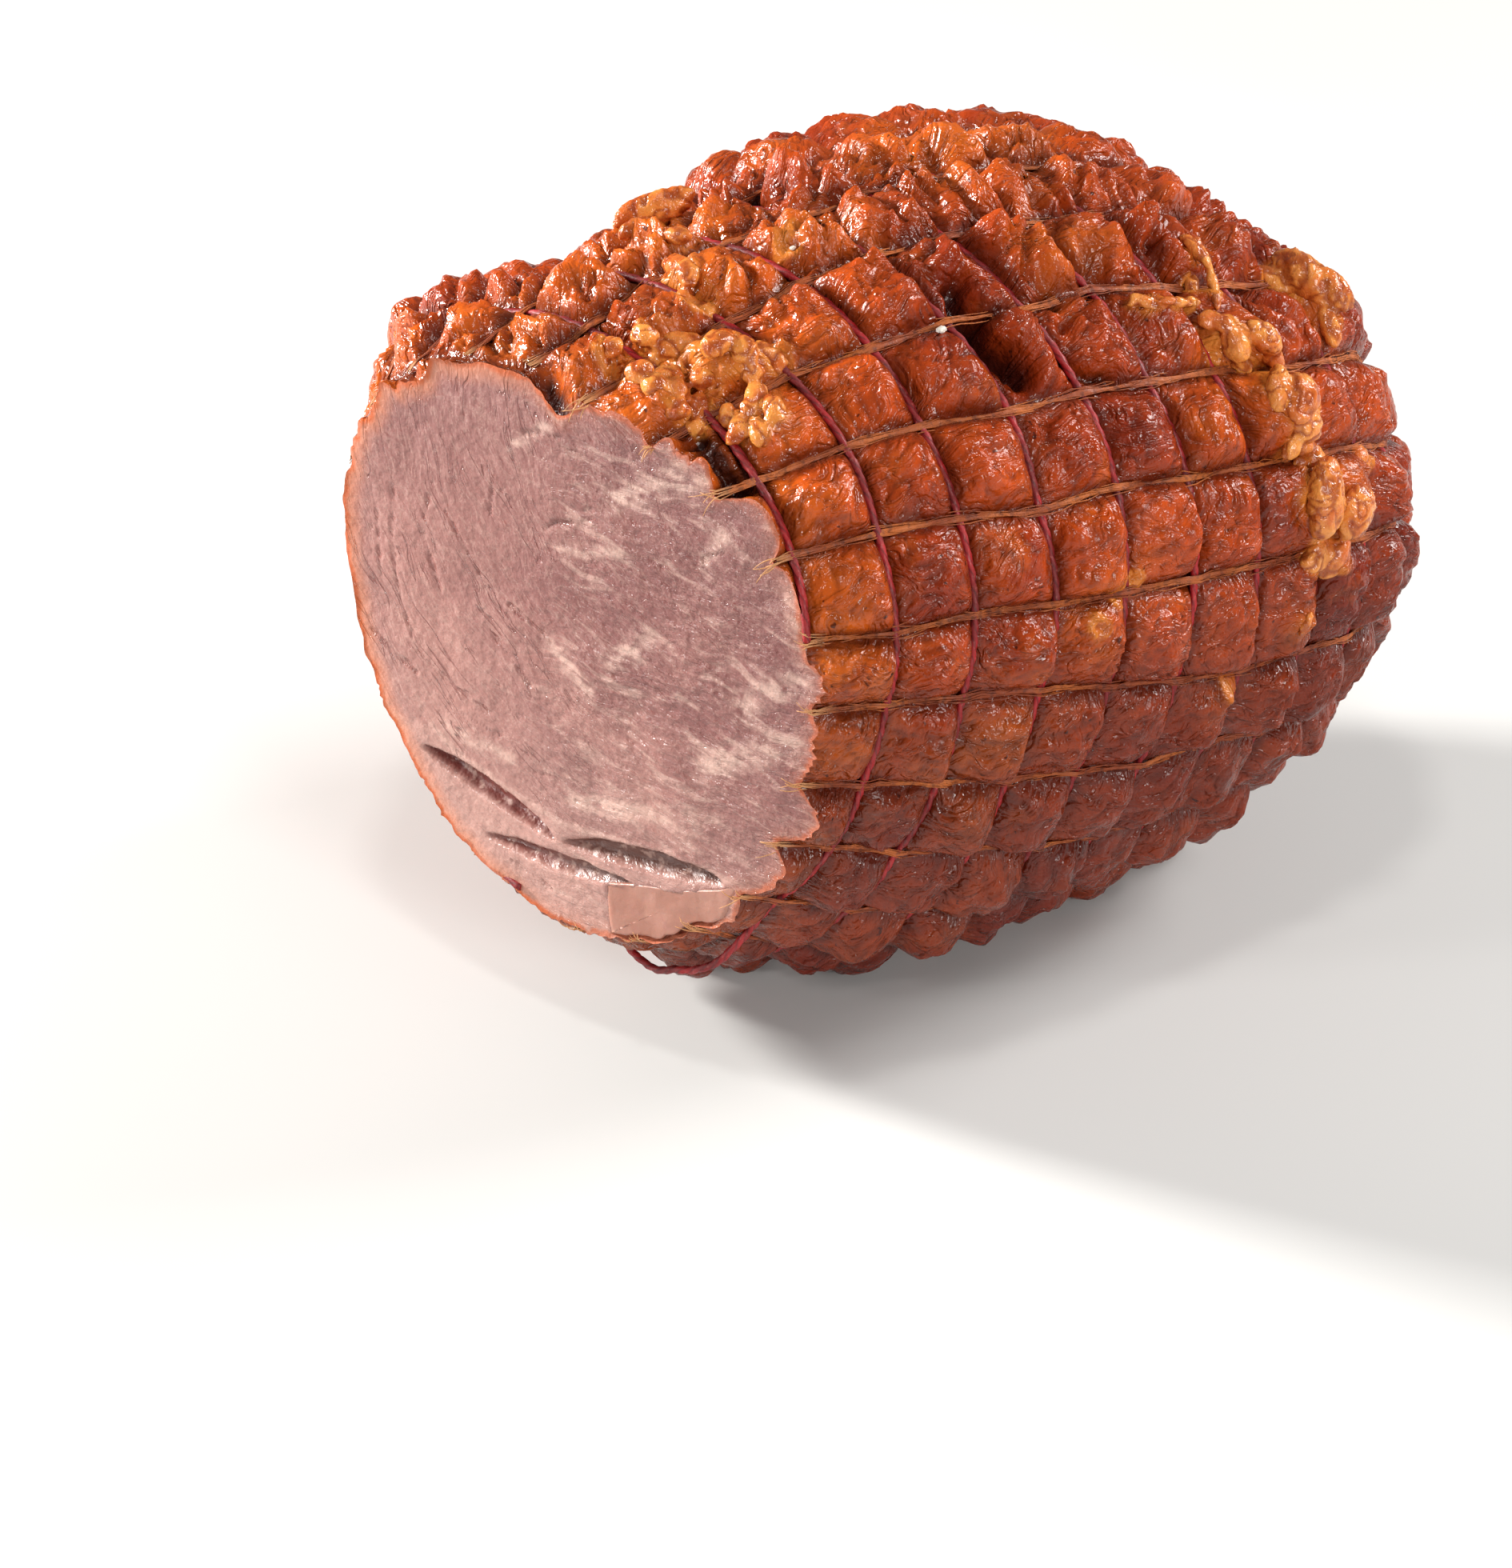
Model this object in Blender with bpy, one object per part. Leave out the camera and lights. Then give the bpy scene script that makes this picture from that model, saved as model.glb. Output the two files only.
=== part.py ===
"""Cooked ham in an elastic net, as cut: one end sliced flat, the net tied off at the far end.

+X runs along the ham from the cut face to the tied end, -Y is its smoother side and +Z is up.
"""
import math
import random

import bmesh
import bpy
import numpy as np
from mathutils import Vector

# Whole ham before cutting, metres.
GIRTH_RADIUS = 0.110
SIDE_SCALE = 0.92
TOP_SCALE = 0.80
BOTTOM_SCALE = 1.12
CENTRE_HEIGHT = 0.1145
WIDEST_X = 0.0048
FAR_LENGTH = 0.1066
FAR_FULLNESS = 2.8
FRONT_LENGTH = 0.112
FRONT_TAPER = 0.23
FRONT_START_X = -0.1761
SIDE_OFFSET = 0.0069
SIDE_LEAN = -0.12
SIDE_BEND = -0.32
DROOP_LEAN = -0.05
DROOP_BEND = -0.09
LEAN_ORIGIN_X = -0.0252
FRONT_SAMPLES = 120
FAR_SAMPLES = 240
TURN_SAMPLES = 721

# The net: rings round the ham and cotton strands along it.
STRANDS = 24
FIRST_STRAND_TURN = 9.1
RING_PITCH = 0.0201
FIRST_RING_X = -0.1006
ROWS_BEFORE_FIRST = 2
LAST_ROW = 13
THROAT_FROM_POLE = 0.0140
RING_TILT = 9.0
RING_TILT_LOSS = 22.0
RING_YAW = 1.3
RING_YAW_GAIN = 23.0
STRAND_TWIST = -85.0
KNOT_WANDER_ALONG = 0.0009
KNOT_WANDER_ROUND = 0.9
ELASTIC_HALF = 0.0010
COTTON_HALF_WIDTH = 0.0012
COTTON_HALF_THICK = 0.0007
GAP = 0.0003
RING_BED_SLACK = 0.0014
STRAND_BED_SLACK = 0.0006
CALM_PITCHES = 5.0

# Flesh pressed out between the strings.
NET_DEPTH = 0.0050
POLE_DEPTH_SHARE = 0.4
FULL_HEIGHT_WIDTH = 0.9 * RING_PITCH
CELL_RISE = 0.0058
CELL_RISE_SPREAD = 0.24
CELL_ROUND_STEPS = 3
CELL_LONG_STEPS = 4
FAR_CELL_LONG_STEPS = 3
FIRST_FAR_ROW = 9
FLOOR_FOR_NET = 0.0034
FLOOR_SOFTNESS = 0.0009
FLOOR_REACH = 30.0

# Flat cut.
CUT_X = -0.1071
CUT_TILT = 2.8
CUT_YAW = -7.15

# Tied end.
TIE_RISE = 0.0080
TIE_SHOULDER_RISE = 0.0058
TIE_SHOULDER_SHARE = 0.60

# Broad unevenness of the outline: x, turn in degrees, rise and reach.
SWELLS = {
    "waist behind the top left rim": (-0.042, 129.0, -0.0110, 0.025),
    "full top left rim": (-0.078, 148.0, 0.0115, 0.018),
    "drawn in left edge": (-0.113, 168.0, -0.0040, 0.026),
    "sunk rim over the cut": (-0.100, 72.0, -0.0075, 0.024),
    "flat lower left rim": (-0.112, 218.0, -0.0060, 0.034),
    "sunk far shoulder": (0.082, 71.0, -0.0090, 0.018),
    "fat cap on the far shoulder": (0.088, 48.0, 0.0055, 0.013),
    "full far right": (0.088, -8.0, 0.0052, 0.028),
    "full lower right": (-0.060, -65.0, 0.0028, 0.040),
}

# Fat lumps and hollows between the strings: x, turn in degrees, rise and reach.
LUMPS = {
    "front cap a": (-0.052, 102.0, 0.0045, 0.012),
    "front cap b": (-0.069, 87.0, 0.0040, 0.010),
    "front cap c": (-0.084, 77.0, 0.0045, 0.009),
    "front cap d": (-0.071, 68.0, 0.0045, 0.011),
    "front cap e": (-0.092, 66.0, 0.0035, 0.009),
    "top left knuckle": (-0.093, 122.0, 0.0040, 0.010),
    "far cap a": (0.072, 49.0, 0.0050, 0.011),
    "far cap b": (0.042, 41.0, 0.0045, 0.011),
    "far cap c": (0.043, 28.0, 0.0045, 0.009),
    "far cap d": (0.047, 14.0, 0.0040, 0.010),
    "far cap e": (0.054, 6.0, 0.0035, 0.009),
    "tear": (-0.021, 57.0, -0.0080, 0.009),
}

# Seam pockets in the cut face: from and to (y, z), half opening, bend and depth.
SEAMS = {
    "upper left": ((0.0513, 0.0635), (0.0113, 0.0565), 0.0016, -0.0010, 0.016),
    "upper right": ((-0.0017, 0.0605), (-0.0372, 0.0630), 0.0030, 0.0012, 0.018),
    "lower": ((0.0328, 0.0485), (-0.0007, 0.0520), 0.0012, -0.0012, 0.012),
}
SEAM_POINTS = 7
SEAM_TAPER = 0.55
SEAM_FRONT = 0.020
SEAM_FULLNESS = 0.7

# Fat wedge low in the cut face: its outline as (y, z).
WEDGE_OUTLINE = (
    (-0.0042, 0.0490), (-0.0222, 0.0530), (-0.0382, 0.0580), (-0.0390, 0.0545),
    (-0.0345, 0.0470), (-0.0272, 0.0415), (-0.0172, 0.0382), (-0.0057, 0.0372),
)
WEDGE_DEPTH = 0.045
WEDGE_TAPER = 0.65
SOCKET_GAP = GAP * 1.4

# Plain colours and roughness.
MEAT_LOOK = ((0.36, 0.10, 0.04), 0.35)
FAT_LOOK = ((0.80, 0.60, 0.50), 0.45)
ELASTIC_LOOK = ((0.22, 0.012, 0.016), 0.6)
COTTON_LOOK = ((0.42, 0.22, 0.09), 0.9)

RING_BED = ELASTIC_HALF + GAP + RING_BED_SLACK
STRAND_BED = ELASTIC_HALF - STRAND_BED_SLACK

SEED = 11
FLAT_FROM = 0.999
STEP_ALONG = 0.0005
STEP_ROUND = 0.4


def clear_scene():
    for item in list(bpy.data.objects):
        bpy.data.objects.remove(item, do_unlink=True)


def profile_tables():
    """Run along the skin, x and radius, sampled from the first section to the far pole."""
    front_x = np.linspace(FRONT_START_X, WIDEST_X, FRONT_SAMPLES)
    front_r = GIRTH_RADIUS * (1.0 - FRONT_TAPER * ((WIDEST_X - front_x) / FRONT_LENGTH) ** 2)
    swing = np.linspace(0.0, math.pi / 2, FAR_SAMPLES)[1:]
    far_x = WIDEST_X + FAR_LENGTH * np.sin(swing) ** (2.0 / FAR_FULLNESS)
    far_r = GIRTH_RADIUS * np.clip(np.cos(swing), 0.0, 1.0) ** (2.0 / FAR_FULLNESS)
    x = np.concatenate([front_x, far_x])
    r = np.concatenate([front_r, far_r])
    run = np.concatenate([[0.0], np.cumsum(np.hypot(np.diff(x), np.diff(r)))])
    return run, x, r


RUN, PROFILE_X, PROFILE_R = profile_tables()


def run_at(x):
    return float(np.interp(x, PROFILE_X, RUN))


def centre_line(x):
    """y and z of the ham's curved middle at x."""
    u = x - LEAN_ORIGIN_X
    y = SIDE_OFFSET + SIDE_LEAN * u + SIDE_BEND * u * u
    z = CENTRE_HEIGHT + DROOP_LEAN * u + DROOP_BEND * u * u
    return y, z


def bare_skin(run, turn):
    x = float(np.interp(run, RUN, PROFILE_X))
    r = float(np.interp(run, RUN, PROFILE_R))
    y0, z0 = centre_line(x)
    c = math.cos(math.radians(turn))
    s = math.sin(math.radians(turn))
    lift = TOP_SCALE if s > 0.0 else BOTTOM_SCALE
    return Vector((x, y0 - SIDE_SCALE * r * c, z0 + lift * r * s))


SWELL_SPOTS = [(bare_skin(run_at(x), turn), rise, reach) for x, turn, rise, reach in SWELLS.values()]
LUMP_SPOTS = [(bare_skin(run_at(x), turn), rise, reach) for x, turn, rise, reach in LUMPS.values()]


def rise_at(point, spots):
    return sum(rise * math.exp(-(point - spot).length_squared / (2.0 * reach * reach))
               for spot, rise, reach in spots)


def skin(run, turn):
    """Smooth outline of the ham at a run along it and a turn round it."""
    point = bare_skin(run, turn)
    y0, z0 = centre_line(point.x)
    outward = Vector((0.0, point.y - y0, point.z - z0))
    if outward.length > 1e-6:
        point += outward.normalized() * rise_at(point, SWELL_SPOTS)
    return point


def skin_normal(run, turn):
    along = skin(run + STEP_ALONG, turn) - skin(run - STEP_ALONG, turn)
    round_it = skin(run, turn + STEP_ROUND) - skin(run, turn - STEP_ROUND)
    normal = along.cross(round_it).normalized()
    point = skin(run, turn)
    y0, z0 = centre_line(point.x)
    inside = Vector((min(point.x, WIDEST_X), y0, z0))
    return normal if normal.dot(point - inside) > 0.0 else -normal


def strand_turns():
    """Angles that part the widest section into equal lengths of skin."""
    turns = np.linspace(0.0, 360.0, TURN_SAMPLES)
    widest = run_at(WIDEST_X)
    spots = np.array([bare_skin(widest, t) for t in turns])
    length = np.concatenate([[0.0], np.cumsum(np.linalg.norm(np.diff(spots, axis=0), axis=1))])
    start = float(np.interp(FIRST_STRAND_TURN, turns, length))
    wanted = [(start + length[-1] * j / STRANDS) % length[-1] for j in range(STRANDS)]
    return [float(np.interp(w, length, turns)) for w in wanted]


def soft_floor(z):
    """Lifts what would sink below the floor for the net, leaving the rest as it is."""
    over = (z - FLOOR_FOR_NET) / FLOOR_SOFTNESS
    if over > FLOOR_REACH:
        return z
    return FLOOR_FOR_NET + FLOOR_SOFTNESS * math.log1p(math.exp(over))


def net_knots():
    """Where each strand crosses each row: point on the net's surface and outward normal."""
    draw = random.Random(SEED)
    turns = strand_turns()
    first = run_at(FIRST_RING_X)
    origin = run_at(LEAN_ORIGIN_X)
    pole = float(RUN[-1])
    rows = []
    runs = [first + k * RING_PITCH for k in range(-ROWS_BEFORE_FIRST, LAST_ROW + 1)]
    runs.append(pole - THROAT_FROM_POLE)
    for run in runs:
        x_from_origin = float(np.interp(run, RUN, PROFILE_X)) - LEAN_ORIGIN_X
        tilt = math.tan(math.radians(RING_TILT - RING_TILT_LOSS * x_from_origin))
        yaw = math.tan(math.radians(RING_YAW + RING_YAW_GAIN * x_from_origin))
        calm = min(1.0, (pole - run) / (CALM_PITCHES * RING_PITCH))
        row = []
        for turn in turns:
            flat = bare_skin(run, turn)
            y0, z0 = centre_line(flat.x)
            here = run + (flat.z - z0) * tilt - (flat.y - y0) * yaw
            here += draw.uniform(-1.0, 1.0) * KNOT_WANDER_ALONG * calm
            twist = STRAND_TWIST * (here - origin) + draw.uniform(-1.0, 1.0) * KNOT_WANDER_ROUND
            normal = skin_normal(here, turn + twist)
            depth = NET_DEPTH * (POLE_DEPTH_SHARE + (1.0 - POLE_DEPTH_SHARE) * calm)
            point = skin(here, turn + twist) - normal * depth
            point.z = soft_floor(point.z)
            row.append((point, normal))
        rows.append(row)
    return rows


def mix(a, b, t):
    return a.lerp(b, t)


def cell_rises(draw):
    """Height of every cell's crown over the net's surface."""
    rows = ROWS_BEFORE_FIRST + LAST_ROW + 1
    return [[CELL_RISE * (1.0 + draw.uniform(-1.0, 1.0) * CELL_RISE_SPREAD) for _ in range(STRANDS)]
            for _ in range(rows)]


def cell_point(knots, rises, i, j, u, v):
    """Flesh between four knots: low under the ring and strand, pressed out in the middle."""
    a, na = knots[i][j]
    b, nb = knots[i][(j + 1) % STRANDS]
    if v == 0.0:
        base = mix(a, b, u)
        normal = mix(na, nb, u).normalized()
        return base - normal * RING_BED
    c, nc = knots[i + 1][j]
    d, nd = knots[i + 1][(j + 1) % STRANDS]
    base = mix(mix(a, b, u), mix(c, d, u), v)
    normal = mix(mix(na, nb, u), mix(nc, nd, u), v).normalized()
    window = math.sqrt(16.0 * u * (1.0 - u) * v * (1.0 - v))
    width = (mix(a, c, v) - mix(b, d, v)).length
    fit = min(1.0, width / FULL_HEIGHT_WIDTH)
    rise = (rises[i][j] + rise_at(base, LUMP_SPOTS)) * fit
    point = base + normal * (STRAND_BED + window * (rise - STRAND_BED))
    point.z = max(point.z, 0.0)
    return point


def mesh_from(name, points, faces):
    mesh = bpy.data.meshes.new(name)
    mesh.from_pydata([tuple(p) for p in points], [], faces)
    mesh.validate()
    return mesh


def cut_plane():
    """A point of the cut and its normal, which faces into the ham."""
    tilt = math.tan(math.radians(CUT_TILT))
    yaw = math.tan(math.radians(CUT_YAW))
    spot = Vector((CUT_X, SIDE_OFFSET, CENTRE_HEIGHT))
    return spot, Vector((1.0, -yaw, -tilt)).normalized()


def slice_front(mesh):
    """Removes what lies in front of the cut and closes the openings it leaves."""
    spot, normal = cut_plane()
    body = bmesh.new()
    body.from_mesh(mesh)
    geometry = body.verts[:] + body.edges[:] + body.faces[:]
    bmesh.ops.bisect_plane(body, geom=geometry, plane_co=spot, plane_no=normal, clear_inner=True)
    rim = [edge for edge in body.edges if edge.is_boundary]
    bmesh.ops.holes_fill(body, edges=rim, sides=0)
    bmesh.ops.triangulate(body, faces=body.faces[:])
    face_outward(body)
    body.to_mesh(mesh)
    body.free()


def face_outward(body):
    bmesh.ops.recalc_face_normals(body, faces=body.faces[:])
    if body.calc_volume(signed=True) < 0.0:
        bmesh.ops.reverse_faces(body, faces=body.faces[:])


def principled(name, colour, roughness):
    material = bpy.data.materials.new(name)
    material.use_nodes = True
    shader = material.node_tree.nodes["Principled BSDF"]
    shader.inputs["Base Color"].default_value = (*colour, 1.0)
    shader.inputs["Roughness"].default_value = roughness
    return material


def add_object(name, mesh, look):
    item = bpy.data.objects.new(name, mesh)
    bpy.context.scene.collection.objects.link(item)
    item.data.materials.append(principled(name + "_material", *look))
    shade(item)
    return item


def shade(item):
    """Smooth all over except on the flat cut."""
    normal = cut_plane()[1]
    for face in item.data.polygons:
        face.use_smooth = face.normal.dot(normal) > -FLAT_FROM


def ham_mesh(knots):
    rises = cell_rises(random.Random(SEED + 1))
    points = []
    stations = 0
    for i in range(len(knots) - 1):
        far = i - ROWS_BEFORE_FIRST >= FIRST_FAR_ROW
        steps = FAR_CELL_LONG_STEPS if far else CELL_LONG_STEPS
        for m in range(steps):
            for j in range(STRANDS):
                for n in range(CELL_ROUND_STEPS):
                    points.append(cell_point(knots, rises, i, j, n / CELL_ROUND_STEPS, m / steps))
            stations += 1
    for j in range(STRANDS):
        for n in range(CELL_ROUND_STEPS):
            a, na = knots[-1][j]
            b, nb = knots[-1][(j + 1) % STRANDS]
            u = n / CELL_ROUND_STEPS
            points.append(mix(a, b, u) - mix(na, nb, u).normalized() * RING_BED)
    stations += 1
    ring = STRANDS * CELL_ROUND_STEPS
    faces = []
    for s in range(stations - 1):
        for n in range(ring):
            a = s * ring + n
            b = s * ring + (n + 1) % ring
            faces.append((a, a + ring, b + ring, b))
    points.append(pole_spot() - Vector((RING_BED, 0.0, 0.0)))
    last = (stations - 1) * ring
    for n in range(ring):
        faces.append((last + n, len(points) - 1, last + (n + 1) % ring))
    faces.append(tuple(range(ring)))
    mesh = mesh_from("ham_meat", points, faces)
    slice_front(mesh)
    return mesh


def pole_spot():
    x = float(PROFILE_X[-1])
    y0, z0 = centre_line(x)
    return Vector((x - NET_DEPTH * POLE_DEPTH_SHARE, y0, z0))


def ring_mesh(name, row):
    """One elastic: a square cord laid straight from knot to knot."""
    points = []
    count = len(row)
    for j in range(count):
        point, normal = row[j]
        along = (row[(j + 1) % count][0] - row[j - 1][0]).normalized()
        side = along.cross(normal).normalized()
        out = side.cross(along).normalized()
        for step in (out, side, -out, -side):
            points.append(point + step * ELASTIC_HALF)
    faces = []
    for j in range(count):
        nxt = (j + 1) % count
        for q in range(4):
            r = (q + 1) % 4
            faces.append((j * 4 + q, j * 4 + r, nxt * 4 + r, nxt * 4 + q))
    mesh = mesh_from(name, points, faces)
    slice_front(mesh)
    return mesh


def strand_section(knots, i, j):
    """Left, top, right and bottom of strand j where it passes over row i."""
    point, normal = knots[i][j]
    before = knots[max(i - 1, 0)][j][0]
    after = knots[i + 1][j][0] if i + 1 < len(knots) else pole_spot()
    along = (after - before).normalized()
    side = normal.cross(along).normalized()
    out = along.cross(side).normalized()
    centre = point + normal * (ELASTIC_HALF + GAP + COTTON_HALF_THICK)
    return (centre - side * COTTON_HALF_WIDTH, centre + out * COTTON_HALF_THICK,
            centre + side * COTTON_HALF_WIDTH, centre - out * COTTON_HALF_THICK)


def strands_mesh(knots):
    """All cotton strands with the tied end they run into, as one body."""
    points = []
    faces = []
    last = len(knots) - 1
    for j in range(STRANDS):
        start = len(points)
        for i in range(len(knots)):
            points.extend(strand_section(knots, i, j))
        for i in range(last):
            for q in range(4):
                r = (q + 1) % 4
                a = start + i * 4
                faces.append((a + q, a + r, a + 4 + r, a + 4 + q))
        faces.append((start, start + 3, start + 2, start + 1))
    length = 4 * len(knots)
    ends = [j * length + 4 * last for j in range(STRANDS)]
    pole = pole_spot()
    shoulder = len(points)
    for j in range(STRANDS):
        top = points[ends[j] + 1]
        lifted = mix(pole, top, TIE_SHOULDER_SHARE)
        lifted.x = pole.x + TIE_SHOULDER_RISE
        points.append(lifted)
    peak = len(points)
    points.append(pole + Vector((TIE_RISE, 0.0, 0.0)))
    under = len(points)
    points.append(pole + Vector((ELASTIC_HALF + GAP, 0.0, 0.0)))
    for j in range(STRANDS):
        nxt = (j + 1) % STRANDS
        left, top, right, bottom = (ends[j] + q for q in range(4))
        next_left = ends[nxt]
        m = shoulder + j
        m_next = shoulder + nxt
        faces.extend([(m, left, top), (m, top, right), (m, right, next_left), (m, next_left, m_next)])
        faces.append((peak, m, m_next))
        faces.extend([(under, right, bottom), (under, bottom, left), (under, next_left, right)])
    mesh = mesh_from("net_strands", points, faces)
    slice_front(mesh)
    return mesh


def prism(name, outline, start_x, depth, taper, grow=0.0):
    """A closed bar along X from a flat outline, narrowing toward its inner end."""
    middle = [sum(p[axis] for p in outline) / len(outline) for axis in (0, 1)]
    points = []
    for x, scale in ((start_x, 1.0), (start_x + depth + grow, taper)):
        for y, z in outline:
            away = Vector((y - middle[0], z - middle[1]))
            away = away * scale + away.normalized() * grow
            points.append((x, middle[0] + away.x, middle[1] + away.y))
    count = len(outline)
    faces = [tuple(range(count)), tuple(range(2 * count - 1, count - 1, -1))]
    for n in range(count):
        nxt = (n + 1) % count
        faces.append((n, nxt, count + nxt, count + n))
    mesh = mesh_from(name, points, faces)
    body = bmesh.new()
    body.from_mesh(mesh)
    bmesh.ops.triangulate(body, faces=body.faces[:])
    face_outward(body)
    body.to_mesh(mesh)
    body.free()
    return mesh


def seam_outline(start, end, half, bend):
    """A lens between two points, bent toward -Z by a negative bend."""
    upper = []
    lower = []
    for n in range(SEAM_POINTS):
        t = n / (SEAM_POINTS - 1)
        y = start[0] + (end[0] - start[0]) * t
        z = start[1] + (end[1] - start[1]) * t + 4.0 * bend * t * (1.0 - t)
        open_by = half * math.sin(math.pi * t) ** SEAM_FULLNESS
        upper.append((y, z + open_by))
        if 0 < n < SEAM_POINTS - 1:
            lower.append((y, z - open_by))
    return upper + lower[::-1]


def take_out(target, mesh):
    cutter = bpy.data.objects.new("cutter", mesh)
    bpy.context.scene.collection.objects.link(cutter)
    cutter.hide_render = True
    cutter.display_type = "WIRE"
    tool = target.modifiers.new("take_out", "BOOLEAN")
    tool.operation = "DIFFERENCE"
    tool.solver = "EXACT"
    tool.object = cutter
    evaluated = target.evaluated_get(bpy.context.evaluated_depsgraph_get())
    result = bpy.data.meshes.new_from_object(evaluated)
    target.modifiers.remove(tool)
    old = target.data
    target.data = result
    bpy.data.meshes.remove(old)
    bpy.data.objects.remove(cutter, do_unlink=True)


def wedge_object(ham):
    socket_start = CUT_X - SEAM_FRONT
    socket_depth = SEAM_FRONT + WEDGE_DEPTH
    take_out(ham, prism("socket", WEDGE_OUTLINE, socket_start, socket_depth, WEDGE_TAPER, SOCKET_GAP))
    mesh = prism("fat_wedge", WEDGE_OUTLINE, socket_start, socket_depth, WEDGE_TAPER)
    slice_front(mesh)
    return add_object("fat_wedge", mesh, FAT_LOOK)


def centre_on_floor(items):
    """Moves every mesh so that the whole stands centred on the origin with its base at z = 0."""
    spots = np.array([v.co[:] for item in items for v in item.data.vertices])
    low = spots.min(axis=0)
    high = spots.max(axis=0)
    move = Vector((-(low[0] + high[0]) / 2, -(low[1] + high[1]) / 2, -low[2]))
    for item in items:
        for vertex in item.data.vertices:
            vertex.co += move
    print("centring move, mm:", [round(1000 * m, 3) for m in move])


def build():
    clear_scene()
    knots = net_knots()
    ham = add_object("ham_meat", ham_mesh(knots), MEAT_LOOK)
    for start, end, half, bend, depth in SEAMS.values():
        outline = seam_outline(start, end, half, bend)
        take_out(ham, prism("seam", outline, CUT_X - SEAM_FRONT, SEAM_FRONT + depth, SEAM_TAPER))
    items = [ham, wedge_object(ham)]
    shade(ham)
    for k in range(LAST_ROW + 1):
        name = "elastic_%02d" % (k + 1)
        row = knots[k + ROWS_BEFORE_FIRST]
        items.append(add_object(name, ring_mesh(name, row), ELASTIC_LOOK))
    items.append(add_object("net_strands", strands_mesh(knots), COTTON_LOOK))
    centre_on_floor(items)
    for item in items:
        count = sum(len(face.vertices) - 2 for face in item.data.polygons)
        print(item.name, count, "triangles")


build()
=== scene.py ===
import math
import random
from itertools import product
import bpy
import bmesh
import numpy as np
from mathutils import Matrix, Vector


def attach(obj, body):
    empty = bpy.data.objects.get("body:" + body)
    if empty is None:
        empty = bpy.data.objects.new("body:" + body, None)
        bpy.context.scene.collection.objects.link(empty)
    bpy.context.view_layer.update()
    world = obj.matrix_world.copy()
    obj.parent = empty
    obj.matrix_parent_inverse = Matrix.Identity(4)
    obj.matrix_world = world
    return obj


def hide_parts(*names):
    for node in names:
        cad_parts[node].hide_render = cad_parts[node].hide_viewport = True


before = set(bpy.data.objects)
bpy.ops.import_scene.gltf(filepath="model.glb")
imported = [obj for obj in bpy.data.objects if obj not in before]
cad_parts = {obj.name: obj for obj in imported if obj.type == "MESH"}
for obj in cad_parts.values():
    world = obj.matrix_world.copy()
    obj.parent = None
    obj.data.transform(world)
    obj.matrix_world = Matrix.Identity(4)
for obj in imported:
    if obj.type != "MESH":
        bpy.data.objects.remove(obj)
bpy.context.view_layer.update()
print("frame loaded")

# where the photograph was taken from
view = {"elevation": 30.0, "azimuth": -47.0, "distance": 1.2, "target": (-0.0252, 0.0069, 0.1045),
        "targetPixel": (1015.4, 680.5), "focalPixels": 6000.0, "frame": (1890, 1960)}

# the ham's outline and its net, in metres and degrees, as the solids have them
ham = {
    "girthRadius": 0.110, "sideScale": 0.92, "topScale": 0.80, "bottomScale": 1.12, "centreHeight": 0.1145,
    "widestX": 0.0048, "farLength": 0.1066, "farFullness": 2.8, "frontLength": 0.112, "frontTaper": 0.23,
    "frontStartX": -0.1761, "sideOffset": 0.0069, "sideLean": -0.12, "sideBend": -0.32,
    "droopLean": -0.05, "droopBend": -0.09, "leanOriginX": -0.0252, "frontSamples": 120, "farSamples": 240,
}
net = {
    "strands": 24, "firstTurn": 9.1, "pitch": 0.0201, "firstRingX": -0.1006, "rowsBefore": 2, "lastRow": 13,
    "throatFromPole": 0.014, "tilt": 9.0, "tiltLoss": 22.0, "yaw": 1.3, "yawGain": 23.0, "twist": -85.0,
    "wanderAlong": 0.0009, "wanderRound": 0.9, "depth": 0.0050, "poleDepth": 0.4, "calmPitches": 5.0,
    "floor": 0.0034, "floorSoftness": 0.0009, "floorReach": 30.0, "turnSamples": 721, "startRow": 0.6,
    "lookupStep": 0.05, "lookupLift": 0.003, "lookupNear": 6.0, "seed": 11,
}
cut = {"x": -0.1071, "tilt": 2.8, "yaw": -7.15, "tolerance": 1e-5}

# broad unevenness: x, turn, rise, reach
swells = {
    "waistBehindRim": (-0.042, 129.0, -0.0110, 0.025),
    "fullTopLeftRim": (-0.078, 148.0, 0.0115, 0.018),
    "drawnLeftEdge": (-0.113, 168.0, -0.0040, 0.026),
    "sunkRimOverCut": (-0.100, 72.0, -0.0075, 0.024),
    "flatLowerLeftRim": (-0.112, 218.0, -0.0060, 0.034),
    "sunkFarShoulder": (0.082, 71.0, -0.0090, 0.018),
    "fatOnFarShoulder": (0.088, 48.0, 0.0055, 0.013),
    "fullFarRight": (0.088, -8.0, 0.0052, 0.028),
    "fullLowerRight": (-0.060, -65.0, 0.0028, 0.040),
}


def unit(v):
    return v / np.maximum(np.linalg.norm(v, axis=-1, keepdims=True), 1e-12)


def smooth(low, high, x):
    t = np.clip((x - low) / (high - low), 0.0, 1.0)
    return t * t * (3.0 - 2.0 * t)


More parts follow.
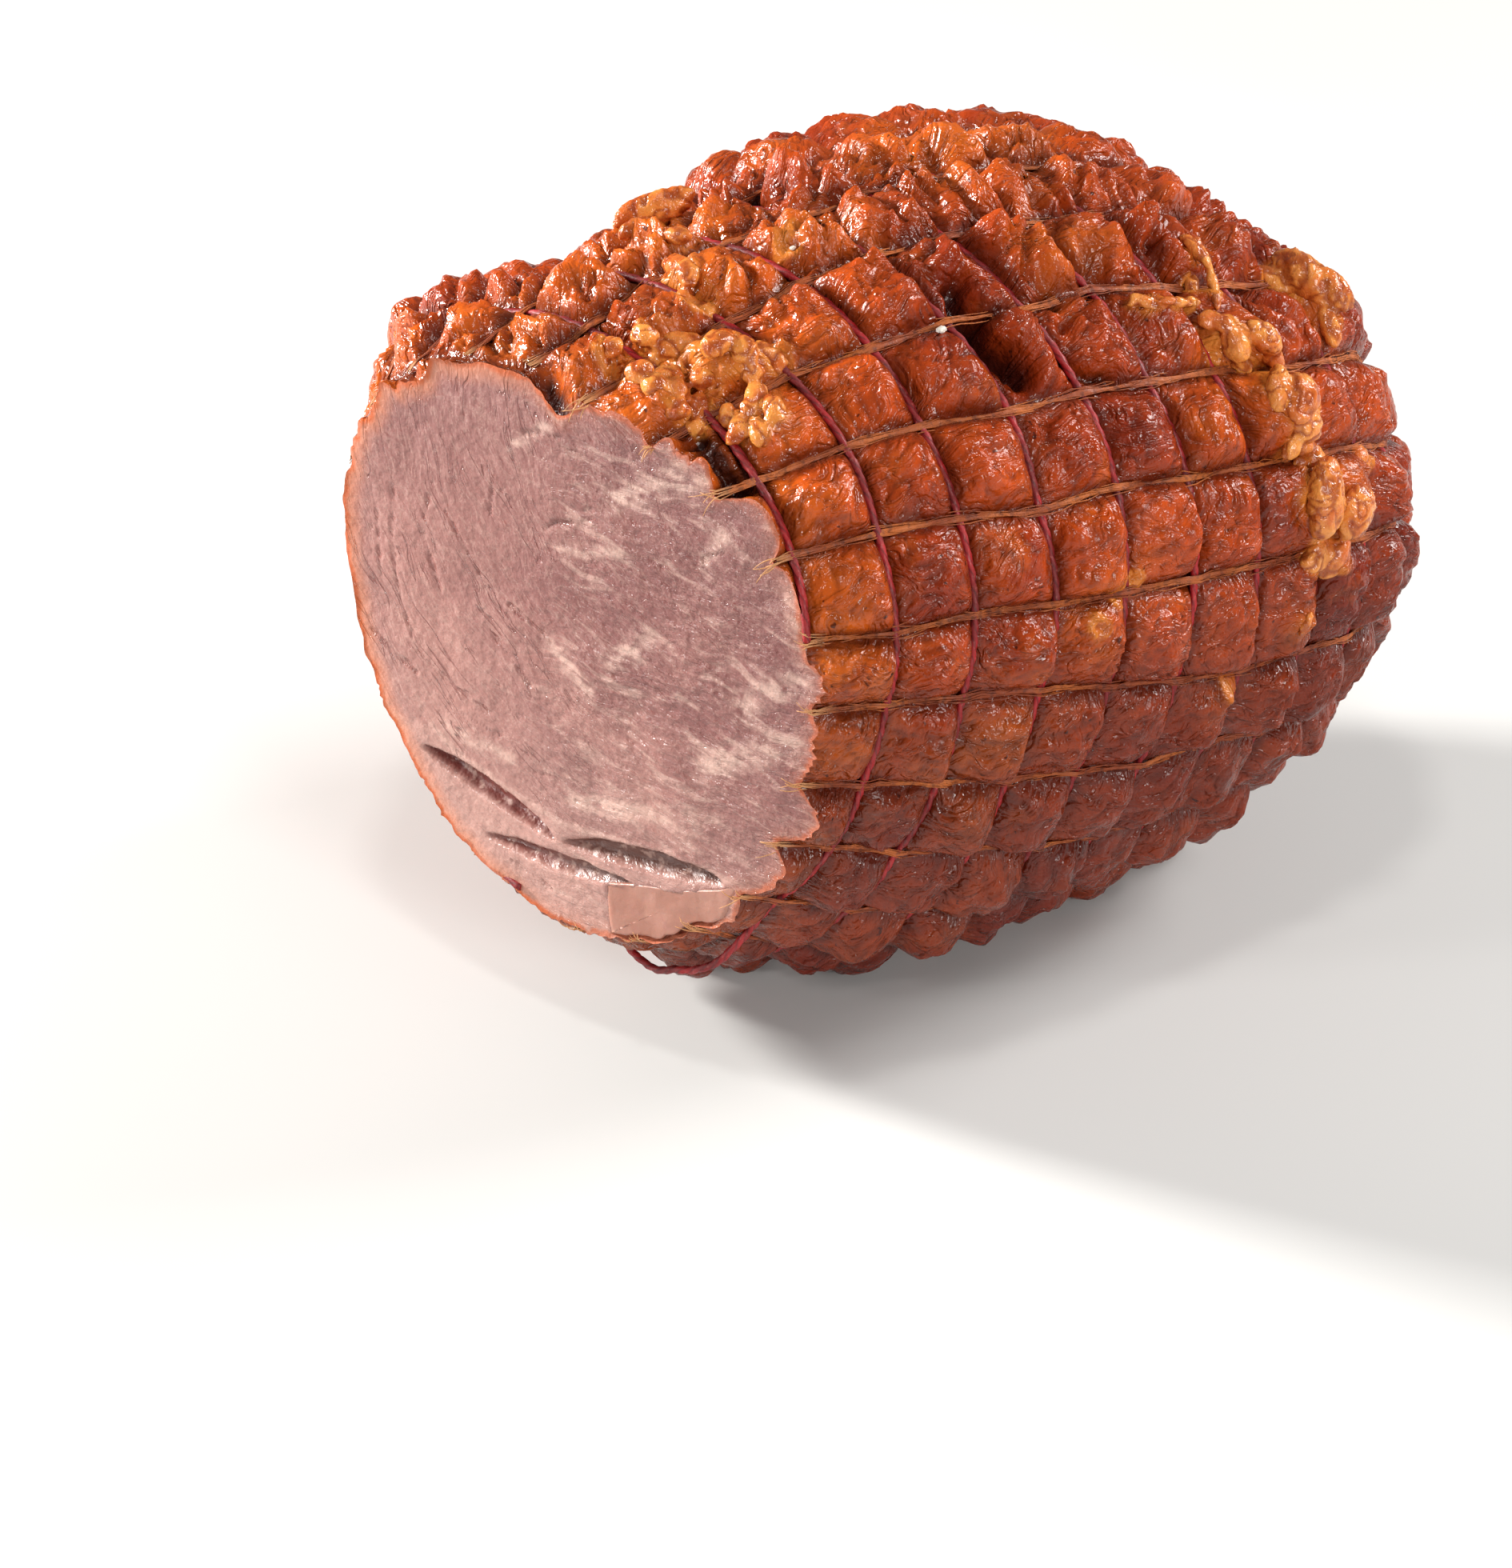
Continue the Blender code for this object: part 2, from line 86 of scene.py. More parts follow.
def cameraAxes():
    # stands on the line fixed by elevation and azimuth, turned until the target falls on its pixel
    e, a = math.radians(view["elevation"]), math.radians(view["azimuth"])
    toEye = np.array([math.sin(a) * math.cos(e), -math.cos(a) * math.cos(e), math.sin(e)])
    wantX = (view["targetPixel"][0] - view["frame"][0] / 2) / view["focalPixels"]
    wantY = (view["frame"][1] / 2 - view["targetPixel"][1]) / view["focalPixels"]
    back = toEye
    for _ in range(8):
        right = unit(np.cross([0.0, 0.0, 1.0], back))
        up = np.cross(back, right)
        depth = toEye @ back
        back = unit(back + (wantX + toEye @ right / depth) * right + (wantY + toEye @ up / depth) * up)
    right = unit(np.cross([0.0, 0.0, 1.0], back))
    return np.array(view["target"]) + toEye * view["distance"], right, np.cross(back, right), back


eye, eyeRight, eyeUp, eyeBack = cameraAxes()


def pixelsOf(points):
    d = points - eye
    depth = -(d @ eyeBack)
    x = view["frame"][0] / 2 + view["focalPixels"] * (d @ eyeRight) / depth
    y = view["frame"][1] / 2 - view["focalPixels"] * (d @ eyeUp) / depth
    return x, y, depth


def profileTables():
    h = ham
    frontX = np.linspace(h["frontStartX"], h["widestX"], h["frontSamples"])
    frontR = h["girthRadius"] * (1.0 - h["frontTaper"] * ((h["widestX"] - frontX) / h["frontLength"]) ** 2)
    swing = np.linspace(0.0, math.pi / 2, h["farSamples"])[1:]
    farX = h["widestX"] + h["farLength"] * np.sin(swing) ** (2.0 / h["farFullness"])
    farR = h["girthRadius"] * np.clip(np.cos(swing), 0.0, 1.0) ** (2.0 / h["farFullness"])
    x = np.concatenate([frontX, farX])
    r = np.concatenate([frontR, farR])
    run = np.concatenate([[0.0], np.cumsum(np.hypot(np.diff(x), np.diff(r)))])
    return run, x, r


runTable, xTable, radiusTable = profileTables()


def runAt(x):
    return float(np.interp(x, xTable, runTable))


def centreLine(x):
    u = x - ham["leanOriginX"]
    y = ham["sideOffset"] + ham["sideLean"] * u + ham["sideBend"] * u * u
    z = ham["centreHeight"] + ham["droopLean"] * u + ham["droopBend"] * u * u
    return y, z


def bareSkin(run, turn):
    run, turn = np.broadcast_arrays(np.asarray(run, float), np.asarray(turn, float))
    x = np.interp(run, runTable, xTable)
    r = np.interp(run, runTable, radiusTable)
    y0, z0 = centreLine(x)
    c, s = np.cos(np.radians(turn)), np.sin(np.radians(turn))
    lift = np.where(s > 0.0, ham["topScale"], ham["bottomScale"])
    return np.stack([x, y0 - ham["sideScale"] * r * c, z0 + lift * r * s], -1)


swellSpots = [(bareSkin(runAt(x), turn), rise, reach) for x, turn, rise, reach in swells.values()]


def outlineSkin(run, turn):
    p = bareSkin(run, turn)
    y0, z0 = centreLine(p[..., 0])
    outward = np.stack([np.zeros_like(y0), p[..., 1] - y0, p[..., 2] - z0], -1)
    rise = np.zeros(p.shape[:-1])
    for spot, high, reach in swellSpots:
        rise = rise + high * np.exp(-((p - spot) ** 2).sum(-1) / (2.0 * reach * reach))
    return p + unit(outward) * rise[..., None]


def outlineNormal(run, turn):
    along = outlineSkin(run + 0.0005, turn) - outlineSkin(run - 0.0005, turn)
    around = outlineSkin(run, turn + 0.4) - outlineSkin(run, turn - 0.4)
    n = unit(np.cross(along, around))
    p = outlineSkin(run, turn)
    y0, z0 = centreLine(p[..., 0])
    inside = np.stack([np.minimum(p[..., 0], ham["widestX"]), y0, z0], -1)
    return n * np.sign(((p - inside) * n).sum(-1))[..., None]


def strandTurns():
    turns = np.linspace(0.0, 360.0, net["turnSamples"])
    spots = bareSkin(runAt(ham["widestX"]), turns)
    length = np.concatenate([[0.0], np.cumsum(np.linalg.norm(np.diff(spots, axis=0), axis=1))])
    start = float(np.interp(net["firstTurn"], turns, length))
    wanted = [(start + length[-1] * j / net["strands"]) % length[-1] for j in range(net["strands"])]
    return [float(np.interp(w, length, turns)) for w in wanted]


def softFloor(z):
    over = (z - net["floor"]) / net["floorSoftness"]
    eased = net["floor"] + net["floorSoftness"] * np.log1p(np.exp(np.minimum(over, net["floorReach"])))
    return np.where(over > net["floorReach"], z, eased)


def netKnots():
    draw = random.Random(net["seed"])
    turns = strandTurns()
    first, origin, pole = runAt(net["firstRingX"]), runAt(ham["leanOriginX"]), float(runTable[-1])
    runs = [first + k * net["pitch"] for k in range(-net["rowsBefore"], net["lastRow"] + 1)]
    runs.append(pole - net["throatFromPole"])
    spots, normals = [], []
    for run in runs:
        xo = float(np.interp(run, runTable, xTable)) - ham["leanOriginX"]
        tilt = math.tan(math.radians(net["tilt"] - net["tiltLoss"] * xo))
        yaw = math.tan(math.radians(net["yaw"] + net["yawGain"] * xo))
        calm = min(1.0, (pole - run) / (net["calmPitches"] * net["pitch"]))
        share = net["poleDepth"] + (1.0 - net["poleDepth"]) * calm
        for turn in turns:
            flat = bareSkin(run, turn)
            y0, z0 = centreLine(flat[0])
            here = run + (flat[2] - z0) * tilt - (flat[1] - y0) * yaw
            here += draw.uniform(-1.0, 1.0) * net["wanderAlong"] * calm
            twist = net["twist"] * (here - origin) + draw.uniform(-1.0, 1.0) * net["wanderRound"]
            n = outlineNormal(here, turn + twist)
            p = outlineSkin(here, turn + twist) - n * net["depth"] * share
            p[2] = softFloor(p[2])
            spots.append(p)
            normals.append(n)
    shape = (len(runs), net["strands"], 3)
    return np.array(spots).reshape(shape), np.array(normals).reshape(shape)


knots, knotNormals = netKnots()
rowCount = knots.shape[0]                     # the last row is the throat of the tied end
poleY, poleZ = centreLine(float(xTable[-1]))
pole = np.array([float(xTable[-1]) - net["depth"] * net["poleDepth"], poleY, poleZ])
halfRound = net["strands"] // 2
poleRow = np.broadcast_to(pole, (1, net["strands"], 3))
knotGrid = np.concatenate([knots, poleRow, np.roll(knots[-1:], halfRound, 1)])
poleNormal = np.broadcast_to(np.array([1.0, 0.0, 0.0]), (1, net["strands"], 3))
normalGrid = np.concatenate([knotNormals, poleNormal, np.roll(knotNormals[-1:], halfRound, 1)])


def splineWeights(t):
    t2, t3 = t * t, t * t * t
    return (-0.5 * t + t2 - 0.5 * t3, 1.0 - 2.5 * t2 + 1.5 * t3,
            0.5 * t + 2.0 * t2 - 1.5 * t3, -0.5 * t2 + 0.5 * t3)


# point and outward normal of the smooth surface through the knots
def netSurface(row, strand):
    row, strand = np.broadcast_arrays(np.asarray(row, float), np.asarray(strand, float))
    i = np.clip(np.floor(row).astype(int), 0, rowCount)
    j = np.floor(strand).astype(int)
    wr, ws = splineWeights(row - i), splineWeights(strand - j)
    p = np.zeros(row.shape + (3,))
    n = np.zeros(row.shape + (3,))
    for a in range(4):
        ia = np.clip(i + a - 1, 0, knotGrid.shape[0] - 1)
        for b in range(4):
            jb = (j + b - 1) % net["strands"]
            w = (wr[a] * ws[b])[..., None]
            p += knotGrid[ia, jb] * w
            n += normalGrid[ia, jb] * w
    return p, unit(n)


# noise in numpy, so that the relief is real mesh
noiseDraw = np.random.RandomState(5)
shuffle = np.tile(noiseDraw.permutation(256), 2)
slopes = unit(noiseDraw.normal(size=(256, 3)))


# a number from 0 to 255 for each whole place
def scatter(x, y, z):
    return shuffle[(shuffle[(shuffle[x & 255] + y) & 255] + z) & 255]


def noise(p, seed=0):
    p = np.asarray(p, float) + seed * 17.37
    i = np.floor(p).astype(int)
    f = p - i
    fade = f * f * f * (f * (f * 6.0 - 15.0) + 10.0)
    weights = (1.0 - fade, fade)
    total = np.zeros(p.shape[:-1])
    for dx, dy, dz in product((0, 1), repeat=3):
        slope = slopes[scatter(i[..., 0] + dx, i[..., 1] + dy, i[..., 2] + dz)]
        weight = weights[dx][..., 0] * weights[dy][..., 1] * weights[dz][..., 2]
        total += weight * (slope * (f - np.array([dx, dy, dz]))).sum(-1)
    return total * 1.6


# round swellings between sharp creases, 0 in a crease and about 1 on a swelling
def folds(p, seed=0):
    return np.minimum(np.abs(noise(p, seed)) * 2.4, 1.15) ** 0.75


# distance to scattered points, and a number for the nearest one
def pebbles(p, seed=0):
    base = np.floor(p).astype(int)
    first = np.full(p.shape[:-1], 9.0)
    tag = np.zeros(p.shape[:-1])
    for step in product((-1, 0, 1), repeat=3):
        c = base + np.array(step)
        key = scatter(c[..., 0] + seed, c[..., 1], c[..., 2])
        d = np.linalg.norm(p - (c + 0.5 + slopes[key] * 0.42), axis=-1)
        tag = np.where(d < first, key / 255.0, tag)
        first = np.minimum(first, d)
    return first, tag


def xyz(x, y=0.0, z=0.0):
    return np.stack(np.broadcast_arrays(x, y, z), -1)


print("net worked out")

# finds where a pixel of the photograph falls on the ham
lookupRow, lookupStrand = np.meshgrid(np.arange(net["startRow"], rowCount - 0.1, net["lookupStep"]),
                                      np.arange(0.0, net["strands"], net["lookupStep"]), indexing="ij")
lookupPoint, lookupNormal = netSurface(lookupRow, lookupStrand)
lookupPoint = lookupPoint + lookupNormal * net["lookupLift"]
lookupX, lookupY, lookupDepth = pixelsOf(lookupPoint)
lookupFacing = ((eye - lookupPoint) * lookupNormal).sum(-1) > 0.0


def placeAt(px, py):
    away = np.where(lookupFacing, np.hypot(lookupX - px, lookupY - py), 1e6)
    close = away < net["lookupNear"]
    pick = np.argmin(np.where(close, lookupDepth, 99.0)) if close.any() else np.argmin(away)
    return lookupRow.flat[pick], lookupStrand.flat[pick]


def pointAt(px, py):
    row, strand = placeAt(px, py)
    return netSurface(row, strand)[0]


# raises a mask round one place, looking only at the points close by
def addBell(total, points, spot, reach):
    close = (np.abs(points - spot) < 3.0 * reach).all(-1)
    bell = np.exp(-((points[close] - spot) ** 2).sum(-1) / (2.0 * reach * reach))
    total[close] = np.maximum(total[close], bell)


# distance from points to the straight line between two ends
def segmentDistance(p, a, b):
    t = np.clip(((p - a) @ (b - a)) / ((b - a) @ (b - a)), 0.0, 1.0)
    return np.linalg.norm(p - a - t[..., None] * (b - a), axis=-1)


def pathDistance(p, path):
    return np.min([segmentDistance(p, a, b) for a, b in zip(path, path[1:])], axis=0)


# a bell along a path of pixels, 1 on the path
def pathBell(points, pixels, half, waver):
    path = [pointAt(*p) for p in pixels]
    low, high = np.min(path, 0) - 3.0 * half, np.max(path, 0) + 3.0 * half
    close = ((points > low) & (points < high)).all(-1)
    near = points[close]
    away = np.maximum(pathDistance(near, path) + waver * noise(near * 330.0, 66), 0.0)
    total = np.zeros(points.shape[:-1])
    total[close] = np.exp(-(away / half) ** 2)
    return total


# fat that breaks out between the strings, by photograph pixel:
# x, y, half width, half height, lean, in pixels and degrees
lobes = {
    "top": [
        (822, 282, 27, 17, -20), (798, 300, 15, 12, 0), (846, 300, 12, 11, 30), (843, 327, 13, 11, 30),
        (862, 345, 11, 14, 10), (878, 376, 12, 10, 30), (856, 366, 10, 9, 0), (850, 422, 37, 15, -12),
        (808, 418, 13, 10, 0), (898, 444, 15, 12, 60), (930, 444, 13, 16, 20), (950, 430, 10, 10, 0),
        (966, 438, 13, 15, 10), (940, 466, 12, 9, 0), (880, 466, 13, 10, 0), (768, 438, 11, 10, 0),
        (788, 452, 12, 11, 20), (808, 446, 10, 9, 0), (800, 472, 13, 10, 30), (826, 466, 13, 11, 0),
        (820, 490, 13, 10, 10), (846, 486, 13, 12, 0), (868, 494, 14, 13, 0), (846, 510, 12, 10, 0),
        (866, 516, 11, 10, 0), (846, 458, 13, 10, 0), (950, 496, 11, 15, 10), (968, 518, 11, 19, 15),
        (926, 532, 11, 18, -25), (910, 512, 10, 11, 0), (938, 512, 9, 11, 0), (955, 545, 10, 12, 0),
    ],
    "far": [
        (1628, 348, 30, 22, -12), (1600, 338, 17, 14, 0), (1652, 372, 15, 22, 10), (1632, 330, 13, 12, 0),
        (1662, 404, 11, 20, -20), (1512, 398, 11, 10, 30), (1526, 412, 11, 9, 0), (1541, 430, 16, 14, -20),
        (1572, 424, 20, 14, -10), (1591, 440, 13, 11, 0), (1560, 446, 12, 9, 0), (1606, 452, 12, 11, -40),
        (1588, 494, 20, 15, 60), (1608, 500, 13, 22, 8), (1638, 508, 14, 27, 20), (1622, 538, 18, 15, 30),
        (1606, 524, 12, 12, 0), (1610, 558, 16, 11, 35), (1632, 560, 12, 10, 0), (1657, 572, 16, 14, -20),
        (1640, 580, 11, 10, 0), (1647, 618, 17, 38, 12), (1681, 636, 16, 28, 4), (1664, 600, 10, 12, 0),
        (1652, 706, 10, 27, -20), (1675, 698, 13, 23, -8), (1660, 664, 11, 12, 0), (1717, 580, 11, 20, 10),
        (1625, 774, 5, 12, 0),
    ],
    # rolled edges of skin over the far shoulder
    "curl": [
        (1488, 322, 7, 20, 18), (1500, 352, 8, 20, -8), (1515, 362, 6, 22, -12), (1490, 372, 14, 6, 20),
        (1436, 380, 22, 6, -8), (1462, 386, 16, 5, 12), (1418, 374, 9, 5, 30),
    ],
}
lobeSize = 0.00026                            # metres for a pixel; some of each lobe is pressed in
lobeBed = 0.00024                             # the same for the fatty ground round a lobe
lobePlaces = {group: [placeAt(*spec[:2]) for spec in specs] for group, specs in lobes.items()}

skin = {
    "columnsPerCell": 24, "rowsPerCell": (27, 25, 20), "splitRows": (5, 10), "crowding": 0.35,
    "fullWidth": 0.018, "rise": 0.0060, "riseSpread": 0.24, "rimCalm": 0.86,
    "ringBed": -0.0010, "strandBed": -0.0004, "ringFlat": 0.0003, "strandFlat": 0.0006, "shoulder": 0.0112,
    "crownShift": 0.13, "crownSpread": 0.13,
    "sag": 0.0012, "sagSize": 9.5,
    "wrinkle": 0.00100, "wrinkleWide": 3.4, "wrinkleLong": 6.0, "lowerLonger": 7.0,
    "fibre": 0.00022, "fibreWide": 2.0, "gnarl": 0.0054, "gnarlSize": (19.0, 9.5, 11.0),
    "gnarlFine": 0.0016, "gnarlFineSize": (8.0, 3.6, 4.2), "fatPebble": 0.0024, "pebbleSize": 4.3,
    "slitWaver": 0.0009, "darkDepth": 0.007,
}
# ground where the meat lies in thick folds, by pixel: x, y, reach in metres
gnarls = [(560, 400, 0.020), (640, 370, 0.020), (720, 370, 0.016), (800, 300, 0.018), (880, 260, 0.020),
          (980, 230, 0.020), (1080, 220, 0.020), (1190, 220, 0.018), (1300, 210, 0.018), (1420, 260, 0.018),
          (960, 330, 0.013), (1110, 290, 0.014), (1250, 280, 0.012), (1340, 330, 0.012), (1500, 270, 0.016),
          (860, 540, 0.010)]
# orange stretches where the rind is thin or fat shines through
ambers = [(600, 420, 0.016), (660, 400, 0.016), (830, 300, 0.018), (900, 330, 0.016), (1000, 280, 0.010),
          (1150, 190, 0.016), (1260, 170, 0.012), (900, 480, 0.014), (1060, 830, 0.009), (1050, 960, 0.010),
          (1190, 960, 0.008), (1250, 930, 0.009), (1410, 735, 0.006), (1375, 800, 0.006),
          (1230, 1010, 0.006), (1010, 1050, 0.010), (1540, 870, 0.005), (1625, 780, 0.004),
          (1330, 320, 0.008), (1560, 470, 0.010), (1660, 600, 0.008)]
# beads of fat over the cells, then small smooth patches on single cells
fatFields = [(765, 440, 0.0050), (792, 452, 0.0056), (820, 470, 0.0056), (848, 490, 0.0056),
             (872, 508, 0.0046), (838, 425, 0.0060), (870, 430, 0.0046), (905, 450, 0.0056),
             (940, 444, 0.0060), (968, 440, 0.0050), (955, 508, 0.0060), (928, 528, 0.0046),
             (885, 470, 0.0050), (850, 335, 0.0050), (875, 372, 0.0046), (818, 282, 0.0066),
             (1530, 425, 0.0056), (1580, 440, 0.0056), (1615, 520, 0.0064), (1652, 400, 0.0050),
             (1640, 350, 0.0070), (1655, 590, 0.0056), (1660, 660, 0.0056), (1665, 700, 0.0050),
             (1600, 480, 0.0050)]
patches = [(1412, 738, 0.0040), (1430, 728, 0.0030), (1378, 782, 0.0030), (1545, 862, 0.0030),
           (1627, 776, 0.0028), (985, 300, 0.004)]
# tears and hollows: path in pixels, half width, depth
slits = {
    "tear": (((1196, 350), (1212, 376), (1240, 424), (1285, 464)), 0.0034, 0.0125),
    "tearFoot": (((1318, 430), (1345, 452), (1392, 466)), 0.0018, 0.0048),
    "tearHead": (((1300, 340), (1330, 372), (1338, 400)), 0.0016, 0.0030),
    "besideCut": (((872, 540), (895, 566), (926, 596)), 0.0036, 0.0070),
    "notch": (((680, 458), (700, 486)), 0.0028, 0.0055),
    "topFold": (((900, 222), (925, 226), (960, 246)), 0.0020, 0.0040),
    "farFold": (((1560, 350), (1580, 372), (1618, 400), (1640, 440)), 0.0018, 0.0038),
    "shoulderFold": (((1440, 300), (1460, 330), (1475, 352)), 0.0022, 0.0046),
    "rearFold": (((1500, 640), (1515, 700), (1500, 735)), 0.0016, 0.0032),
}
# thick tongues of meat: path in pixels, half width, rise
tongues = {
    "besideTear": (((1262, 398), (1308, 462)), 0.0048, 0.0038),
    "overTear": (((1150, 300), (1185, 330)), 0.0050, 0.0026),
    "farShoulder": (((1460, 250), (1530, 300)), 0.0065, 0.0030),
    "oldKnuckle": (((530, 400), (575, 385)), 0.0055, 0.0030),
}


def spotMask(points, spots):
    total = np.zeros(points.shape[:-1])
    for px, py, reach in spots:
        addBell(total, points, pointAt(px, py), reach)
    return total


def lobeMask(points):
    total = np.zeros(points.shape[:-1])
    for group, specs in lobes.items():
        for spec, place in zip(specs, lobePlaces[group]):
            addBell(total, points, netSurface(*place)[0], lobeBed * math.sqrt(spec[2] * spec[3]))
    return total


# 1 along the left and the lower rim of the cut, where the strings have left no marks
def calmRim(points):
    side = np.maximum(smooth(-0.01, 0.04, points[..., 1]), smooth(0.075, 0.040, points[..., 2]))
    return smooth(0.034, 0.0, behindCut(points)) * side


def cellRises():
    draw = random.Random(net["seed"] + 1)
    rows, strands = net["rowsBefore"] + net["lastRow"] + 1, net["strands"]
    rises = [[skin["rise"] * (1.0 + draw.uniform(-1.0, 1.0) * skin["riseSpread"]) for _ in range(strands)]
             for _ in range(rows)]
    return np.array(rises + [rises[-1]] * 2)


cellDraw = np.random.RandomState(21)
cellSkew = cellDraw.uniform(-1.0, 1.0, (rowCount + 2, net["strands"], 2)) * skin["crownSpread"]
cellSkew[..., 1] -= skin["crownShift"]
cellGrain = cellDraw.uniform(-0.9, 0.9, (rowCount + 2, net["strands"]))
cellTone = cellDraw.uniform(0.0, 1.0, (rowCount + 2, net["strands"]))
cellHeight = cellRises()


def span(placeA, placeB):
    return np.linalg.norm(netSurface(*placeA)[0] - netSurface(*placeB)[0], axis=-1)


# displaced points of the skin, and the masks that its material reads
def skinLayers(row, strand):
    s = skin
    base, normal = netSurface(row, strand)
    cell, lane = np.floor(row), np.floor(strand)
    i = np.clip(cell.astype(int), 0, rowCount - 1)
    j = lane.astype(int) % net["strands"]
    v, u = row - cell, strand - lane
    wide, deep = span((row, lane), (row, lane + 1.0)), span((cell, strand), (cell + 1.0, strand))
    fit = np.minimum(1.0, wide / s["fullWidth"])
    mm = base * 1000.0
    swirl = noise(mm / 6.5, 31)
    us = u + cellSkew[i, j, 0] * 4.0 * u * (1.0 - u)
    vs = v + cellSkew[i, j, 1] * 4.0 * v * (1.0 - v)
    across = np.minimum(us, 1.0 - us) * wide
    along = np.minimum(vs, 1.0 - vs) * deep
    near = np.minimum(np.minimum(u, 1.0 - u) * wide, np.minimum(v, 1.0 - v) * deep)
    soft = smooth(0.0008, 0.0050, near)
    # 1 where the skin faces down on the near side; the material paints shade there, and the wrinkles run
    # along it
    low = smooth(0.30, -0.30, normal[..., 2]) * smooth(0.06, -0.02, base[..., 1])
    fat = np.maximum(lobeMask(base), spotMask(base, patches + fatFields))
    fat = smooth(0.46, 0.66, fat + 0.14 * noise(mm / 3.5, 3))
    # the pillow that each cell pushes out between its strings
    reach = np.minimum(s["shoulder"], 0.48 * np.minimum(wide, deep)) * (0.95 + 0.20 * noise(mm / 8.0, 7))

    def crown(d, flat):
        return 1.0 - (1.0 - np.clip((d - flat * fit) / (reach - flat * fit), 0.0, 1.0)) ** 2.0

    pillow = (crown(across, s["strandFlat"]) * crown(along, s["ringFlat"])) ** 0.8
    offRing = smooth(0.0004, 0.0024, np.minimum(v, 1.0 - v) * deep)
    bed = s["ringBed"] + (s["strandBed"] - s["ringBed"]) * offRing
    flatten = 1.0 - s["rimCalm"] * calmRim(base)
    h = bed + pillow * (cellHeight[i, j] * (1.0 + 0.30 * noise(mm / 10.0, 8)) * fit * flatten - bed)
    h += s["sag"] * (folds(mm / s["sagSize"] + 0.3 * swirl[..., None], 9) - 0.62) * soft * fit
    # wrinkles, whose direction turns from cell to cell and follows the muscle on the underside
    turn = cellGrain[i, j] * (1.0 - 0.7 * low) + 0.9 * low + 0.7 * noise(mm / 24.0, 12)
    x, y = (u - 0.5) * wide * 1000.0, (v - 0.5) * deep * 1000.0
    gx = x * np.cos(turn) - y * np.sin(turn) + i * 37.0
    gy = x * np.sin(turn) + y * np.cos(turn) + j * 53.0
    stretch = s["wrinkleLong"] + s["lowerLonger"] * low
    crinkle = folds(xyz((gx + swirl * 3.0) / s["wrinkleWide"], (gy + swirl * 3.0) / stretch), 41)
    finer = folds(xyz((gx - swirl * 2.0) / s["fibreWide"], (gy + swirl * 2.0) / (stretch * 0.6)), 43)
    uneven = 0.45 + 1.1 * smooth(-0.35, 0.45, noise(mm / 8.5, 14))
    calm = (0.25 + 0.75 * soft) * (1.0 - 0.8 * fat) * np.clip(fit, 0.4, 1.0) * uneven
    h += s["wrinkle"] * (crinkle - 0.62) * calm + s["fibre"] * (finer - 0.62) * calm
    # thick folds that run over the strings
    gnarl = smooth(0.25, 0.85, spotMask(base, gnarls)) * np.clip(fit, 0.3, 1.0)
    bend = xyz(*[noise(mm / 16.0, 61 + k) for k in range(3)]) * 0.8
    slanted = xyz(mm[..., 0] * 0.6 + mm[..., 1] * 0.8, mm[..., 1] * 0.6 - mm[..., 0] * 0.8, mm[..., 2])
    thick = folds(slanted / np.array(s["gnarlSize"]) + bend, 64)
    thin = folds(slanted / np.array(s["gnarlFineSize"]) + bend * 1.5, 65)
    h += gnarl * (0.35 + 0.65 * soft) * (s["gnarl"] * (thick - 0.55) + s["gnarlFine"] * (thin - 0.6))
    # small fat beads
    away, tag = pebbles(mm / s["pebbleSize"] + 0.25 * swirl[..., None], 9)
    bead = np.sqrt(np.clip(1.0 - (away / 0.75) ** 2, 0.0, 1.0))
    h += fat * s["fatPebble"] * bead * (0.5 + 0.9 * tag) * (0.3 + 0.7 * soft)
    hollow = np.zeros(h.shape)
    for pixels, half, depth in slits.values():
        inside = pathBell(base, pixels, half, s["slitWaver"])
        h -= depth * inside
        # how much painted shade each hollow gets, full at darkDepth and deeper
        hollow = np.maximum(hollow, inside * min(1.0, depth / s["darkDepth"]))
    for pixels, half, rise in tongues.values():
        h += rise * pathBell(base, pixels, half, 0.0) * (0.4 + 0.6 * soft)
    points = base + normal * h[..., None]
    points[..., 2] = np.maximum(points[..., 2], 0.0)
    # orange by the cut and over the back, lighter low on the right beside the cut
    behind = behindCut(base)
    amber = np.maximum(spotMask(base, ambers), 0.75 * smooth(0.026, 0.004, behind))
    back = smooth(0.25, 0.60, noise(mm / 26.0, 68)) * smooth(0.02, 0.06, base[..., 1])
    amber = np.maximum(amber, 0.8 * back) + 0.25 * noise(mm / 7.0, 67)
    lowRight = smooth(0.0, -0.05, base[..., 1]) * smooth(0.14, 0.08, base[..., 2])
    # crease is 1 in the creases of the wrinkles and folds, groove is 1 beside the strings; the material
    # paints shade in both
    crease = 1.0 - (1.0 - gnarl) * np.clip(crinkle * 1.3, 0.0, 1.0) - gnarl * np.clip(thick * 1.1, 0.0, 1.0)
    masks = {
        "groove": 1.0 - smooth(0.0006, 0.0042, near), "fat": fat, "hollow": hollow, "crease": crease,
        "amber": np.clip(amber, 0.0, 1.0), "low": low,
        "tone": cellTone[i, j] + 0.6 * smooth(0.105, 0.035, behind) * lowRight,
        "bead": bead * fat, "grainU": gx + swirl * 3.0, "grainV": gy + swirl * 3.0,
    }
    return points, masks


def addObject(name, data):
    item = bpy.data.objects.new(name, data)
    bpy.context.scene.collection.objects.link(item)
    return item


